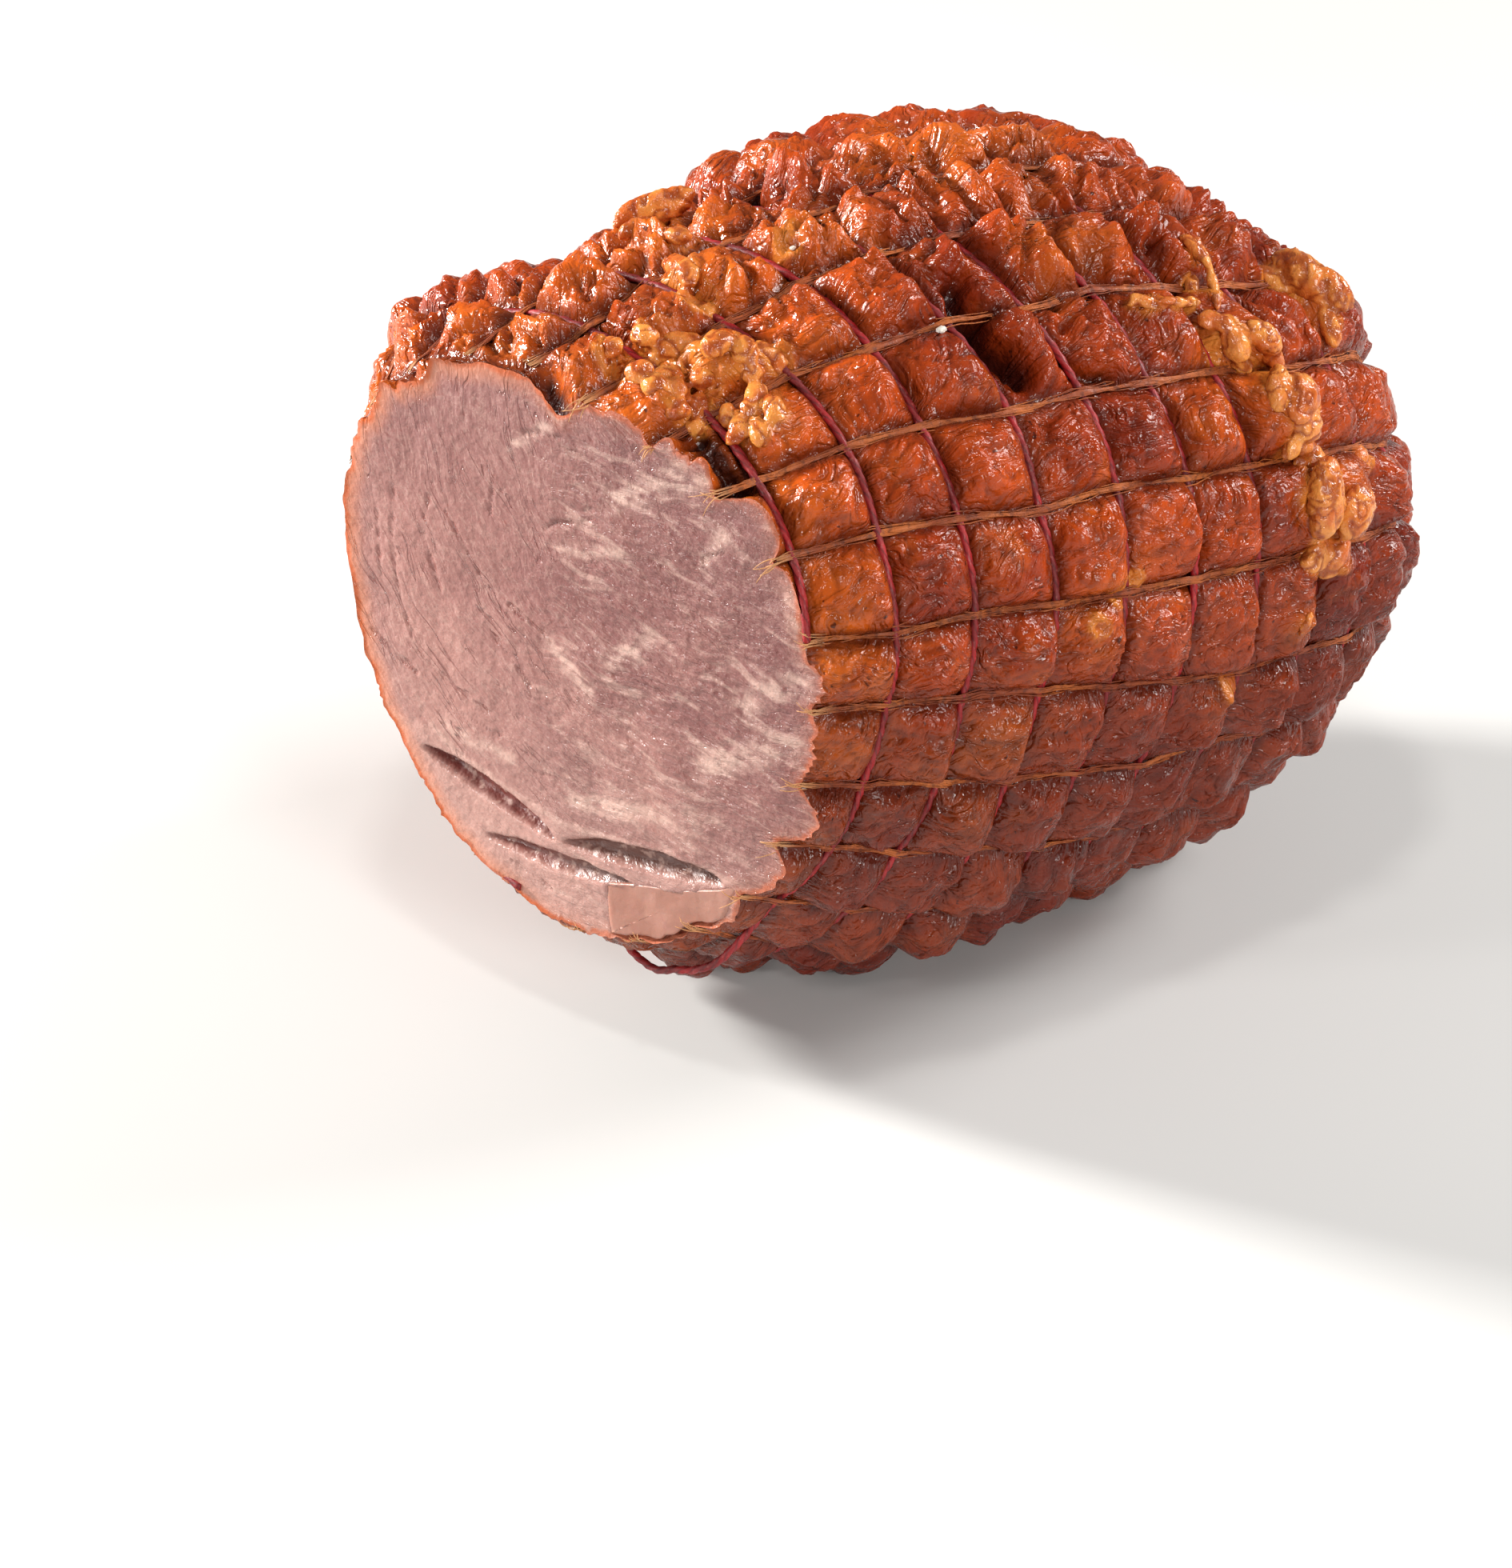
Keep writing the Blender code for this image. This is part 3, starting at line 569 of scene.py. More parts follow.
def meshObject(name, points, faces, masks=None):
    mesh = bpy.data.meshes.new(name)
    mesh.vertices.add(len(points))
    mesh.vertices.foreach_set("co", np.asarray(points, np.float32).ravel())
    count, sides = faces.shape
    mesh.loops.add(count * sides)
    mesh.loops.foreach_set("vertex_index", faces.astype(np.int32).ravel())
    mesh.polygons.add(count)
    mesh.polygons.foreach_set("loop_start", np.arange(0, count * sides, sides, dtype=np.int32))
    mesh.polygons.foreach_set("loop_total", np.full(count, sides, dtype=np.int32))
    mesh.update(calc_edges=True)
    mesh.validate()
    mesh.polygons.foreach_set("use_smooth", np.full(len(mesh.polygons), True))
    for key, values in (masks or {}).items():
        layer = mesh.attributes.new(key, "FLOAT", "POINT")
        layer.data.foreach_set("value", np.asarray(values, np.float32).ravel())
    return addObject(name, mesh)


# opens a mesh for editing, closes the holes asked for and turns its faces outward
def finishMesh(item, caps=(), fillHoles=False, towards=None):
    body = bmesh.new()
    body.from_mesh(item.data)
    body.verts.ensure_lookup_table()
    for cap in caps:
        body.faces.new([body.verts[int(k)] for k in cap])
    if fillHoles:
        bmesh.ops.holes_fill(body, edges=[e for e in body.edges if e.is_boundary], sides=0)
    bmesh.ops.recalc_face_normals(body, faces=body.faces[:])
    if towards is not None and sum((f.normal for f in body.faces), Vector()).dot(Vector(towards)) < 0.0:
        bmesh.ops.reverse_faces(body, faces=body.faces[:])
    for f in body.faces:
        f.smooth = True
    body.to_mesh(item.data)
    body.free()


def gridFaces(rows, columns, wrapColumns=True, wrapRows=False, start=0):
    index = start + np.arange(rows * columns).reshape(rows, columns)
    a = index if wrapRows else index[:-1]
    b = np.roll(index, -1, 0) if wrapRows else index[1:]
    quads = np.stack([a, b, np.roll(b, -1, 1), np.roll(a, -1, 1)], -1)
    return (quads if wrapColumns else quads[:, :-1]).reshape(-1, 4)


cutNormal = unit(np.array([1.0, -math.tan(math.radians(cut["yaw"])), -math.tan(math.radians(cut["tilt"]))]))
cutSpot = np.array([cut["x"], ham["sideOffset"], ham["centreHeight"]])


# how far points stand behind the cut, into the ham
def behindCut(points):
    return (points - cutSpot) @ cutNormal


# steps over one cell, closer together beside the strings
def stepsWithin(count):
    t = np.arange(count) / count
    return t - skin["crowding"] * np.sin(2.0 * math.pi * t) / (2.0 * math.pi)


def makeSkinBand(name, firstRow, lastRow, perCell):
    rows = [k + stepsWithin(perCell) for k in range(int(firstRow), int(lastRow))] + [[float(lastRow)]]
    rows = np.concatenate(rows)
    rows = np.minimum(rows[rows >= firstRow], rowCount - 0.02)
    strands = np.concatenate([k + stepsWithin(skin["columnsPerCell"]) for k in range(net["strands"])])
    points, masks = skinLayers(*np.meshgrid(rows, strands, indexing="ij"))
    nr, ns = points.shape[:2]
    masks = {key: values.ravel() for key, values in masks.items()}
    item = meshObject(name, points.reshape(-1, 3), gridFaces(nr, ns), masks)
    if lastRow >= rowCount - 1:
        finishMesh(item, caps=[range((nr - 1) * ns, nr * ns)])
    print(name, "made,", len(item.data.polygons), "faces")
    return item


# cuts off what stands before the cut, and gives the points round the opening
def cutOpen(item):
    body = bmesh.new()
    body.from_mesh(item.data)
    bmesh.ops.bisect_plane(body, geom=body.verts[:] + body.edges[:] + body.faces[:], plane_co=Vector(cutSpot),
                           plane_no=Vector(cutNormal), clear_inner=True)
    keepLargest(body)
    body.to_mesh(item.data)

    def onCutPlane(e):
        return all(abs(behindCut(np.array(v.co))) < cut["tolerance"] for v in e.verts)

    loop = longestLoop([e for e in body.edges if e.is_boundary and onCutPlane(e)])
    body.free()
    middle = loop.mean(0)
    clockwise = np.cross(loop[0] - middle, loop[len(loop) // 8] - middle) @ cutNormal < 0
    return loop[::-1] if clockwise else loop


def keepLargest(body):
    seen, groups = set(), []
    for start in body.verts:
        if start in seen:
            continue
        group, queue = [], [start]
        seen.add(start)
        while queue:
            v = queue.pop()
            group.append(v)
            for e in v.link_edges:
                o = e.other_vert(v)
                if o not in seen:
                    seen.add(o)
                    queue.append(o)
        groups.append(group)
    groups.sort(key=len)
    for group in groups[:-1]:
        bmesh.ops.delete(body, geom=group, context="VERTS")


def longestLoop(edges):
    links = {}
    for e in edges:
        for v in e.verts:
            links.setdefault(v, []).append(e)
    best, left = [], set(edges)
    while left:
        e = next(iter(left))
        start = v = e.verts[0]
        loop = []
        while e is not None:
            left.discard(e)
            loop.append(v.co.copy())
            v = e.other_vert(v)
            e = next((n for n in links[v] if n in left), None) if v is not start else None
        if len(loop) > len(best):
            best = loop
    return np.array(best)


def facesInward(item):
    total = 0.0
    for p in item.data.polygons[:4000]:
        middle = Vector((min(p.center.x, ham["widestX"]), ham["sideOffset"], ham["centreHeight"]))
        total += p.normal.dot(p.center - middle)
    return total < 0.0


bandEdges = (net["startRow"],) + skin["splitRows"] + (rowCount,)
skinObjects = [makeSkinBand("hamSkin." + word, bandEdges[k], bandEdges[k + 1], skin["rowsPerCell"][k])
               for k, word in enumerate(("front", "middle", "far"))]
rim = cutOpen(skinObjects[0])
for item in skinObjects[:2]:
    finishMesh(item)
for item in skinObjects:
    if facesInward(item):
        item.data.flip_normals()

face = {"rings": 112, "smoothing": 60, "flowCentre": (-0.047, 0.178), "relief": 0.00020, "grit": 0.00012,
        "swell": 0.0007, "membraneRise": 0.0002, "seamDepth": 0.0003, "wedgeSocket": 0.0022}
# pockets between the muscles, by pixel: from, to, half opening, bend, depth
pockets = {
    "upperLeft": ((528, 932), (696, 1048), 0.0031, 0.0004, 0.0030),
    "upperRight": ((706, 1052), (905, 1104), 0.0031, 0.0008, 0.0032),
    "lower": ((608, 1042), (792, 1106), 0.0025, -0.0008, 0.0026),
    "scratchA": ((662, 962), (742, 985), 0.00030, 0.0, 0.0010),
    "scratchB": ((640, 968), (655, 976), 0.00030, 0.0, 0.0010),
    "pitA": ((722, 640), (742, 634), 0.0005, 0.0, 0.0010),
    "pitB": ((678, 662), (700, 650), 0.0005, 0.0, 0.0010),
    "pitC": ((650, 540), (700, 545), 0.0003, 0.0, 0.0008),
}
# the pale skin between two muscles, by pixel
membranePath = [(540, 905), (567, 938), (634, 985), (705, 1029), (775, 1052), (846, 1076), (925, 1105)]
# thin dark lines between bundles, by pixel
seams = [((490, 608), (491, 680), (502, 758), (520, 809), (556, 848), (610, 890)),
         ((541, 602), (529, 662), (541, 710), (556, 758)), ((607, 779), (664, 857)),
         ((637, 755), (679, 791)), ((463, 785), (520, 839)), ((655, 538), (702, 546)),
         ((700, 556), (735, 575)), ((560, 880), (640, 930)), ((470, 640), (476, 720)),
         ((560, 640), (600, 720)), ((690, 655), (740, 650)), ((720, 1000), (800, 1020)),
         ((880, 700), (905, 690)), ((930, 600), (960, 640)), ((600, 1085), (660, 1125)),
         ((640, 1075), (690, 1110)), ((620, 590), (612, 640))]
# pale cloudy streaks on the cut, by pixel: from, to, half width
clouds = [((770, 625), (850, 592), 0.0022), ((850, 610), (885, 600), 0.0014),
          ((880, 700), (905, 672), 0.0013), ((690, 808), (735, 860), 0.0018),
          ((765, 825), (812, 795), 0.0018), ((700, 685), (775, 692), 0.0010),
          ((930, 880), (1000, 850), 0.0024), ((880, 960), (990, 930), 0.0024),
          ((560, 910), (640, 950), 0.0012), ((720, 1000), (860, 1030), 0.0022),
          ((985, 750), (1010, 800), 0.0020), ((640, 560), (700, 520), 0.0010)]
# the pale wedge, by pixel, going round it
wedgePixels = [(757, 1103), (800, 1106), (850, 1113), (905, 1112), (925, 1106), (916, 1126), (905, 1148),
               (886, 1166), (855, 1180), (815, 1186), (785, 1184), (765, 1176), (761, 1140)]


# signed distance to a closed outline, negative inside
def outlineDistance(y, z, outline):
    corners = np.array(outline + outline[:1])
    away = pathDistance(np.stack([y, z], -1), corners)
    inside = np.zeros(y.shape, bool)
    for (y0, z0), (y1, z1) in zip(corners, corners[1:]):
        inside ^= ((z0 > z) != (z1 > z)) & (y < (y1 - y0) * (z - z0) / (z1 - z0 + 1e-12) + y0)
    return np.where(inside, -away, away)


# how far inside a pocket's mouth a point is, negative outside
def pocketDepth(y, z, start, end, halfOpening, bend):
    (y0, z0), (y1, z1) = cutAt(*start)[1:], cutAt(*end)[1:]
    dy, dz = y1 - y0, z1 - z0
    t = np.clip(((y - y0) * dy + (z - z0) * dz) / (dy * dy + dz * dz), 0.0, 1.0)
    my, mz = y0 + dy * t, z0 + dz * t + 4.0 * bend * t * (1.0 - t)
    return halfOpening * np.sin(math.pi * t) ** 0.55 - np.hypot(y - my, z - mz)


# point of the cut plane over (y, z)
def onCut(y, z):
    x = cutSpot[0] - ((y - cutSpot[1]) * cutNormal[1] + (z - cutSpot[2]) * cutNormal[2]) / cutNormal[0]
    return xyz(x, y, z)


# where a pixel's ray meets the cut
def cutAt(px, py):
    ray = -eyeBack + eyeRight * (px - view["frame"][0] / 2) / view["focalPixels"]
    ray = ray - eyeUp * (py - view["frame"][1] / 2) / view["focalPixels"]
    return eye + ray * ((cutSpot - eye) @ cutNormal) / (ray @ cutNormal)


wedgeOutline = [tuple(cutAt(*p)[1:]) for p in wedgePixels]


# distance on the cut to a path of pixels
def cutDistance(p, pixels):
    return pathDistance(p, [cutAt(*pixel) for pixel in pixels])


membraneLine = np.array([cutAt(*p)[1:] for p in membranePath[::-1]])


def faceLayers(p, edge):
    y, z = p[..., 1], p[..., 2]
    mm = p * 1000.0
    cy, cz = face["flowCentre"]
    radius = np.hypot(y - cy, z - cz) * 1000.0
    around = np.arctan2(z - cz, y - cy) * 85.0
    warp = noise(mm / 16.0, 5) * 2.4 + noise(mm / 6.0, 4) * 0.6
    left = smooth(-0.01, 0.045, y)
    below = np.interp(y, membraneLine[:, 0], membraneLine[:, 1]) - z
    crescent = smooth(0.0, 0.0015, below + 0.0006 * noise(mm / 3.0, 18))
    fibres = noise(xyz((radius + warp) / 1.6, (around + warp) / 6.0), 6) * (1.0 - 0.7 * crescent)
    level = noise(xyz((y * 1000.0 + warp) / 6.5, (z * 1000.0 - 0.12 * y * 1000.0 + warp) / 1.5), 7)
    h = face["relief"] * (0.6 * fibres * left + 1.5 * level * (1.0 - left))
    h += face["grit"] * noise(mm / 2.4, 16) + face["swell"] * noise(mm / 14.0, 17)
    pocket = np.zeros(y.shape)
    for *mouth, depth in pockets.values():
        d = pocketDepth(y + 0.0005 * noise(mm / 6.0, 23), z + 0.0004 * noise(mm / 5.0, 24), *mouth)
        deep = 0.3 * smooth(-0.0003, 0.0006, d) + 0.7 * smooth(-0.0003, 0.0020, d)
        h -= depth * deep * (1.0 + 0.08 * noise(mm / 5.0, 25))
        pocket = np.maximum(pocket, smooth(-0.0004, 0.0008, d) * min(1.0, depth / 0.003))
    skinLine = cutDistance(p, membranePath) + 0.0006 * noise(mm / 2.5, 28)
    h += face["membraneRise"] * smooth(0.0012, 0.0003, skinLine)
    seam = np.zeros(y.shape)
    for path in seams:
        away = cutDistance(p, path) + 0.0010 * noise(mm / 4.0, 29)
        seam = np.maximum(seam, smooth(0.0008, 0.0, away))
    h -= face["seamDepth"] * seam
    d = outlineDistance(y, z, wedgeOutline)
    h -= face["wedgeSocket"] * smooth(-0.0006, -0.0014, d)
    h *= smooth(0.0, 0.0010, edge)
    cloud = np.zeros(y.shape)
    for start, end, half in clouds:
        cloud = np.maximum(cloud, np.exp(-(cutDistance(p, (start, end)) / (1.6 * half)) ** 2))
    broken = noise(mm / np.array([3.4, 3.4, 1.9]), 26) + 0.25 * noise(mm / 1.3, 27)
    masks = {
        "pocket": pocket, "lip": smooth(0.0014, 0.0004, skinLine) * (1.0 - pocket), "seam": seam,
        "fibreAcross": radius + warp, "fibreAlong": around + warp, "edge": edge * 1000.0, "leftSide": left,
        "cutAcross": y * 1000.0 + warp, "cutUp": (z - 0.12 * y) * 1000.0 + warp, "crescent": crescent,
        "cloud": cloud * smooth(-0.40, 0.40, broken + 0.5 * cloud), "wedgeEdge": np.exp(-(d / 0.0007) ** 2),
    }
    return h, masks


def softened(ring, rounds):
    for _ in range(rounds):
        ring = (np.roll(ring, 1, 0) + ring * 2.0 + np.roll(ring, -1, 0)) / 4.0
    return ring


def makeCutFace():
    middle = rim.mean(0)
    spread = rim - middle
    count = len(rim)
    soft = softened(spread, face["smoothing"])
    share = 1.0 - np.arange(face["rings"]) / face["rings"]
    keep = smooth(0.86, 1.0, share)[:, None, None]
    points = middle + (soft * (1.0 - keep) + spread * keep) * share[:, None, None]
    edge = (1.0 - share)[:, None] * np.linalg.norm(spread, axis=1)[None, :]
    h, masks = faceLayers(points, edge)
    flat = (points - cutNormal * h[..., None]).reshape(-1, 3)
    centre = middle - cutNormal * h[-1].mean()
    data = {k: np.append(m.ravel(), m[-1].mean()) for k, m in masks.items()}
    item = meshObject("hamCut", np.vstack([flat, centre]), gridFaces(face["rings"], count), data)
    last = (face["rings"] - 1) * count
    hub = [(last + k, last + (k + 1) % count, len(flat)) for k in range(count)]
    finishMesh(item, caps=hub, towards=-cutNormal)
    print("cut face made,", len(item.data.polygons), "faces")
    return item


wedge = {"rings": 30, "points": 160, "fromRim": 0.0008, "proud": 0.0002, "uneven": 0.0004, "rounding": 0.0005,
         "underDepth": 0.003}


def makeWedge():
    rings, count = wedge["rings"], wedge["points"]
    centre = np.array(rim.mean(0))[1:]
    rimAngle = np.arctan2(rim[:, 2] - centre[1], rim[:, 1] - centre[0])
    order = np.argsort(rimAngle)
    rimReach = np.linalg.norm(rim[order, 1:] - centre, axis=1)
    rimReach = np.min([np.roll(rimReach, k) for k in range(-3, 4)], axis=0)
    closed = np.array(wedgeOutline + wedgeOutline[:1])
    length = np.concatenate([[0.0], np.cumsum(np.linalg.norm(np.diff(closed, axis=0), axis=1))])
    at = np.linspace(0.0, length[-1], count, endpoint=False)
    ring = softened(np.stack([np.interp(at, length, closed[:, k]) for k in (0, 1)], -1), 3)
    away = ring - centre
    angle = np.arctan2(away[:, 1], away[:, 0])
    limit = np.interp(angle, rimAngle[order], rimReach, period=2.0 * math.pi) - wedge["fromRim"]
    ring = centre + away * np.minimum(1.0, limit / np.linalg.norm(away, axis=1))[:, None]
    middle = ring.mean(0)
    layers = []
    for s in np.linspace(0.03, 1.0, rings):
        flat = middle + (ring - middle) * s
        p = onCut(flat[:, 0], flat[:, 1])
        mm = p * 1000.0
        proud = wedge["proud"] + 0.00015 * noise(mm / 4.0, 81) + wedge["uneven"] * noise(mm / 11.0, 82)
        proud = proud - wedge["rounding"] * smooth(0.95, 1.0, s)
        layers.append(p - cutNormal * proud[:, None])
    under = middle + (ring - middle) * 0.98
    layers.append(onCut(under[:, 0], under[:, 1]) + cutNormal * wedge["underDepth"])
    item = meshObject("fatWedge", np.array(layers).reshape(-1, 3), gridFaces(rings + 1, count))
    finishMesh(item, caps=[range(count), range(rings * count, (rings + 1) * count)])
    return item


cutObject = makeCutFace()
wedgeObject = makeWedge()
print("wedge made")

elastic = {"radius": 0.00112, "sides": 8, "step": 0.0011, "lay": 0.0042, "plies": 3, "plyDepth": 0.26,
           "lift": 0.0001, "sink": 0.0009, "calmSink": 0.0026, "between": 0.0005, "wander": 0.0003,
           "lowest": 0.0012, "samples": 2400}
looseRing = {"number": 2, "left": (750, 840), "right": (965, 890), "top": 1120, "drop": 0.0068, "lean": 0.25}
cotton = {"bandSides": 12, "bandStep": 0.0022, "bandWide": 0.00074, "bandThick": 0.00028, "yarns": 6,
          "sides": 4, "step": 0.0030, "halfWidth": 0.00016, "halfThick": 0.00013, "spread": 0.00135,
          "over": 0.0006, "bed": -0.0002, "yarnLift": 0.00030, "frayLong": 0.0060, "frayShort": 0.0004,
          "frayedFrom": 690.0, "hiddenStart": 0.12, "bandStart": 0.03, "lowest": 0.0006, "samples": 1200,
          "seed": 31}


# rings of points round a path
def tube(path, out, wide, thick, turns):
    along = unit(np.gradient(path, axis=0))
    side = unit(np.cross(along, out))
    up = np.cross(side, along)
    c, s = np.cos(turns)[..., None], np.sin(turns)[..., None]
    return path[:, None, :] + c * side[:, None, :] * wide[..., None] + s * up[:, None, :] * thick[..., None]


def pathLength(path):
    return np.linalg.norm(np.diff(path, axis=0), axis=1).sum()


# the middle line of one elastic, and which of its points lie behind the cut
def elasticPath(number):
    e = elastic
    row = float(number - 1 + net["rowsBefore"])
    fine = netSurface(row, np.linspace(0.0, net["strands"], e["samples"], endpoint=False))[0]
    length = pathLength(np.vstack([fine, fine[:1]]))
    count = int(length / e["step"])
    strand = np.linspace(0.0, net["strands"], count, endpoint=False)
    path, normal = netSurface(row, strand)
    between = e["between"] * np.abs(np.sin(math.pi * strand)) + e["wander"] * noise(path * 180.0, number)
    sunk = e["sink"] * smooth(2.0, 6.0, row) + e["calmSink"] * calmRim(path)
    path = path + normal * (e["lift"] - sunk + between)[:, None]
    if number == looseRing["number"]:         # hangs free under the cut
        px, py, _ = pixelsOf(path)
        free = smooth(*looseRing["left"], px) * smooth(*looseRing["right"], px) * (py > looseRing["top"])
        path = path + (normal - cutNormal * looseRing["lean"]) * (looseRing["drop"] * free)[:, None]
    path[:, 2] = np.maximum(path[:, 2], e["lowest"])
    return path, normal, behindCut(path) > -0.0004, length / count


def makeElastic(number):
    e = elastic
    path, normal, kept, step = elasticPath(number)
    if kept.all():
        arcs = [(np.arange(len(path)), True)]
    else:
        order = (np.arange(len(path)) + int(np.argmin(behindCut(path)))) % len(path)
        cuts = np.nonzero(np.diff(kept[order].astype(int)))[0] + 1
        arcs = [(part, False) for part in np.split(order, cuts) if kept[part[0]] and len(part) > 8]
    points, faces, ply, caps, first = [], [], [], [], 0
    turn = np.linspace(0.0, 2.0 * math.pi, e["sides"], endpoint=False)
    for part, closed in arcs:
        at = np.arange(len(part)) * step
        wave = np.cos(e["plies"] * (turn[None, :] - 2.0 * math.pi * at[:, None] / (e["lay"] * e["plies"])))
        wander = 0.08 * noise(xyz(at * 350.0), number)
        radii = e["radius"] * (1.0 - e["plyDepth"] * (0.5 - 0.5 * wave) + wander[:, None])
        turns = np.broadcast_to(turn, radii.shape)
        points.append(tube(path[part], normal[part], radii, radii, turns).reshape(-1, 3))
        faces.append(gridFaces(len(part), e["sides"], wrapRows=closed, start=first))
        ply.append((0.5 + 0.5 * wave).ravel())
        if not closed:
            caps += [range(end, end + e["sides"]) for end in (first, first + (len(part) - 1) * e["sides"])]
        first += len(part) * e["sides"]
    masks = {"ply": np.concatenate(ply)}
    item = meshObject("elastic.%02d" % number, np.vstack(points), np.vstack(faces), masks)
    finishMesh(item, caps=caps)
    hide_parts("elastic_%02d" % number)
    return item


# one strand at even steps: rows, middle line, normals, sides, and how high it lies, more so over a ring
def strandPath(j, firstRow, count):
    c = cotton
    row = np.linspace(firstRow, rowCount - 1.0, count)
    path, normal = netSurface(row, float(j))
    side = unit(np.cross(normal, unit(np.gradient(path, axis=0))))
    lift = c["bed"] + (c["over"] - c["bed"]) * np.cos(math.pi * row) ** 8
    return row, path, normal, side, lift


def makeCotton():
    c = cotton
    parts, faces, ends = [], [], []
    draw = random.Random(c["seed"])

    def addTube(path, out, wide, thick, sides, phase, fresh):
        turns = np.linspace(0.0, 2.0 * math.pi, sides, endpoint=False)[None, :] + phase + 0.0 * wide
        faces.append(gridFaces(len(path), sides, start=sum(map(len, parts))))
        parts.append(tube(path, out, wide, thick, turns).reshape(-1, 3))
        ends.append(np.repeat(fresh, sides))

    def addBand(j, firstRow, length):
        row, path, normal, side, lift = strandPath(j, firstRow + c["bandStart"], int(length / c["bandStep"]))
        at = xyz(row * 0.9, j * 5.3)
        lift = lift + 0.00018 * noise(at * 2.0, 90)
        middle = path + normal * lift[:, None] + side * (0.0005 * noise(at, 91))[:, None]
        middle[:, 2] = np.maximum(middle[:, 2], c["lowest"])
        turns = np.linspace(0.0, 2.0 * math.pi, c["bandSides"], endpoint=False)[None, :]
        ridge = 1.0 + 0.42 * noise(xyz(turns * 2.1, row[:, None] * 1.1, j * 3.1), 94)
        width = 1.0 + 0.60 * noise(at * 2.2, 96) + 0.12 * np.cos(2.0 * math.pi * row)
        width -= 0.3 * smooth(9.0, 15.0, row)
        width *= smooth(0.0, 0.10, row - row[0]) * 0.6 + 0.4
        wide = c["bandWide"] * width[:, None] * (0.7 + 0.3 * ridge)
        fresh = np.exp(-(row - firstRow) * 4.0)
        addTube(middle, normal, wide, c["bandThick"] * ridge, c["bandSides"], 0.0, fresh)

    def addYarns(j, firstRow, length, fray):
        row, path, normal, side, lift = strandPath(j, firstRow, int(length / c["step"]))
        for k in range(c["yarns"]):
            place = (k + 0.5) / c["yarns"] * 2.0 - 1.0
            at = xyz(row * 1.2, k * 9.1, j * 5.3)
            sway = c["spread"] * (place * 0.9 + 0.9 * noise(at, 91) + 0.8 * noise(at * 2.7, 92))
            rise = lift + c["yarnLift"] + 0.00025 * noise(at * 1.9, 93)
            yarn = path + side * sway[:, None] + normal * rise[:, None]
            reach = fray * draw.uniform(0.15, 1.0)
            aside = normal[0] * draw.uniform(-0.3, 0.9) + side[0] * draw.uniform(-1.0, 1.0)
            away = unit(yarn[0] - yarn[1] + 0.002 * aside)
            curl = unit(side[0] * draw.uniform(-1.0, 1.0) - normal[0] * 0.6) * reach * 0.5
            t = np.linspace(1.0, 0.25, 4)[:, None]
            yarn = np.vstack([yarn[0] + away * reach * t + curl * t * t, yarn])
            yarn[:, 2] = np.maximum(yarn[:, 2], c["lowest"] + 0.0001)
            out = np.vstack([np.repeat(normal[:1], 4, 0), normal])
            size = 1.0 + 0.45 * noise(xyz(np.arange(len(yarn)) * 0.45, k * 3.7 + j), 95)
            size[:4] *= np.array([0.5, 0.9, 1.1, 1.1])
            wide = np.repeat((c["halfWidth"] * size)[:, None], c["sides"], 1)
            fresh = np.concatenate([np.ones(4), np.exp(-(row - firstRow) * 4.0)])
            addTube(yarn, out, wide, wide * c["halfThick"] / c["halfWidth"], c["sides"], 0.7 * k, fresh)

    fineRow = np.linspace(net["startRow"], rowCount - 1.0, c["samples"])
    for j in range(net["strands"]):
        p = netSurface(fineRow, float(j))[0]
        cutOff = np.nonzero(behindCut(p) < 0.0)[0]
        firstRow = fineRow[cutOff[-1]] if len(cutOff) else fineRow[0]
        frayed = pixelsOf(netSurface(firstRow, float(j))[0])[0] > c["frayedFrom"]
        firstRow += 0.0 if frayed else c["hiddenStart"]
        length = pathLength(p[fineRow >= firstRow])
        addBand(j, firstRow, length)
        addYarns(j, firstRow, length, c["frayLong"] if frayed else c["frayShort"])
    item = meshObject("netCotton", np.vstack(parts), np.vstack(faces), {"freshEnd": np.concatenate(ends)})
    finishMesh(item, fillHoles=True)
    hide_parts("net_strands")
    print("cotton made,", len(item.data.polygons), "faces")
    return item


tie = {"rings": 26, "points": 192, "lift": 0.0010, "rise": 0.0062, "ridge": 0.0008, "swirl": 0.0006,
       "dimple": 0.0018}


# the gathered end: a puckered dome of yarn over the far pole
def makeTie():
    rings, count = tie["rings"], tie["points"]
    t = np.linspace(0.0, 1.0, rings)[:, None]
    strand = np.linspace(0.0, net["strands"], count, endpoint=False)[None, :]
    base, normal = netSurface(rowCount - 1.0 + t * 0.985, strand)
    ridge = 0.5 + 0.5 * np.cos(2.0 * math.pi * (strand + 1.3 * t ** 2))
    swirl = tie["swirl"] * noise(xyz(strand * 1.5, t * 6.0), 97)
    h = tie["lift"] + tie["rise"] * smooth(0.0, 0.62, t) + tie["ridge"] * (1.0 - 0.6 * t) * ridge
    h = h + swirl - tie["dimple"] * smooth(0.8, 1.0, t)
    outward = unit(normal * (1.0 - t[..., None]) + np.array([1.0, 0.0, 0.0]) * t[..., None])
    points = (base + outward * h[..., None]).reshape(-1, 3)
    item = meshObject("netTie", points, gridFaces(rings, count), {"freshEnd": np.zeros(rings * count)})
    finishMesh(item, caps=[range((rings - 1) * count, rings * count)], towards=(1.0, 0.0, 0.0))
    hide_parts("net_strands")
    return item


elasticObjects = [makeElastic(k) for k in range(1, net["lastRow"] + 2)]
cottonObject = makeCotton()
tieObject = makeTie()
print("net made")

melt = {"voxel": 0.00055, "relax": 0.5, "relaxRounds": 5, "uneven": 0.13, "bow": 0.25, "press": 0.05,
        "crease": 0.0005, "grain": 0.0002}


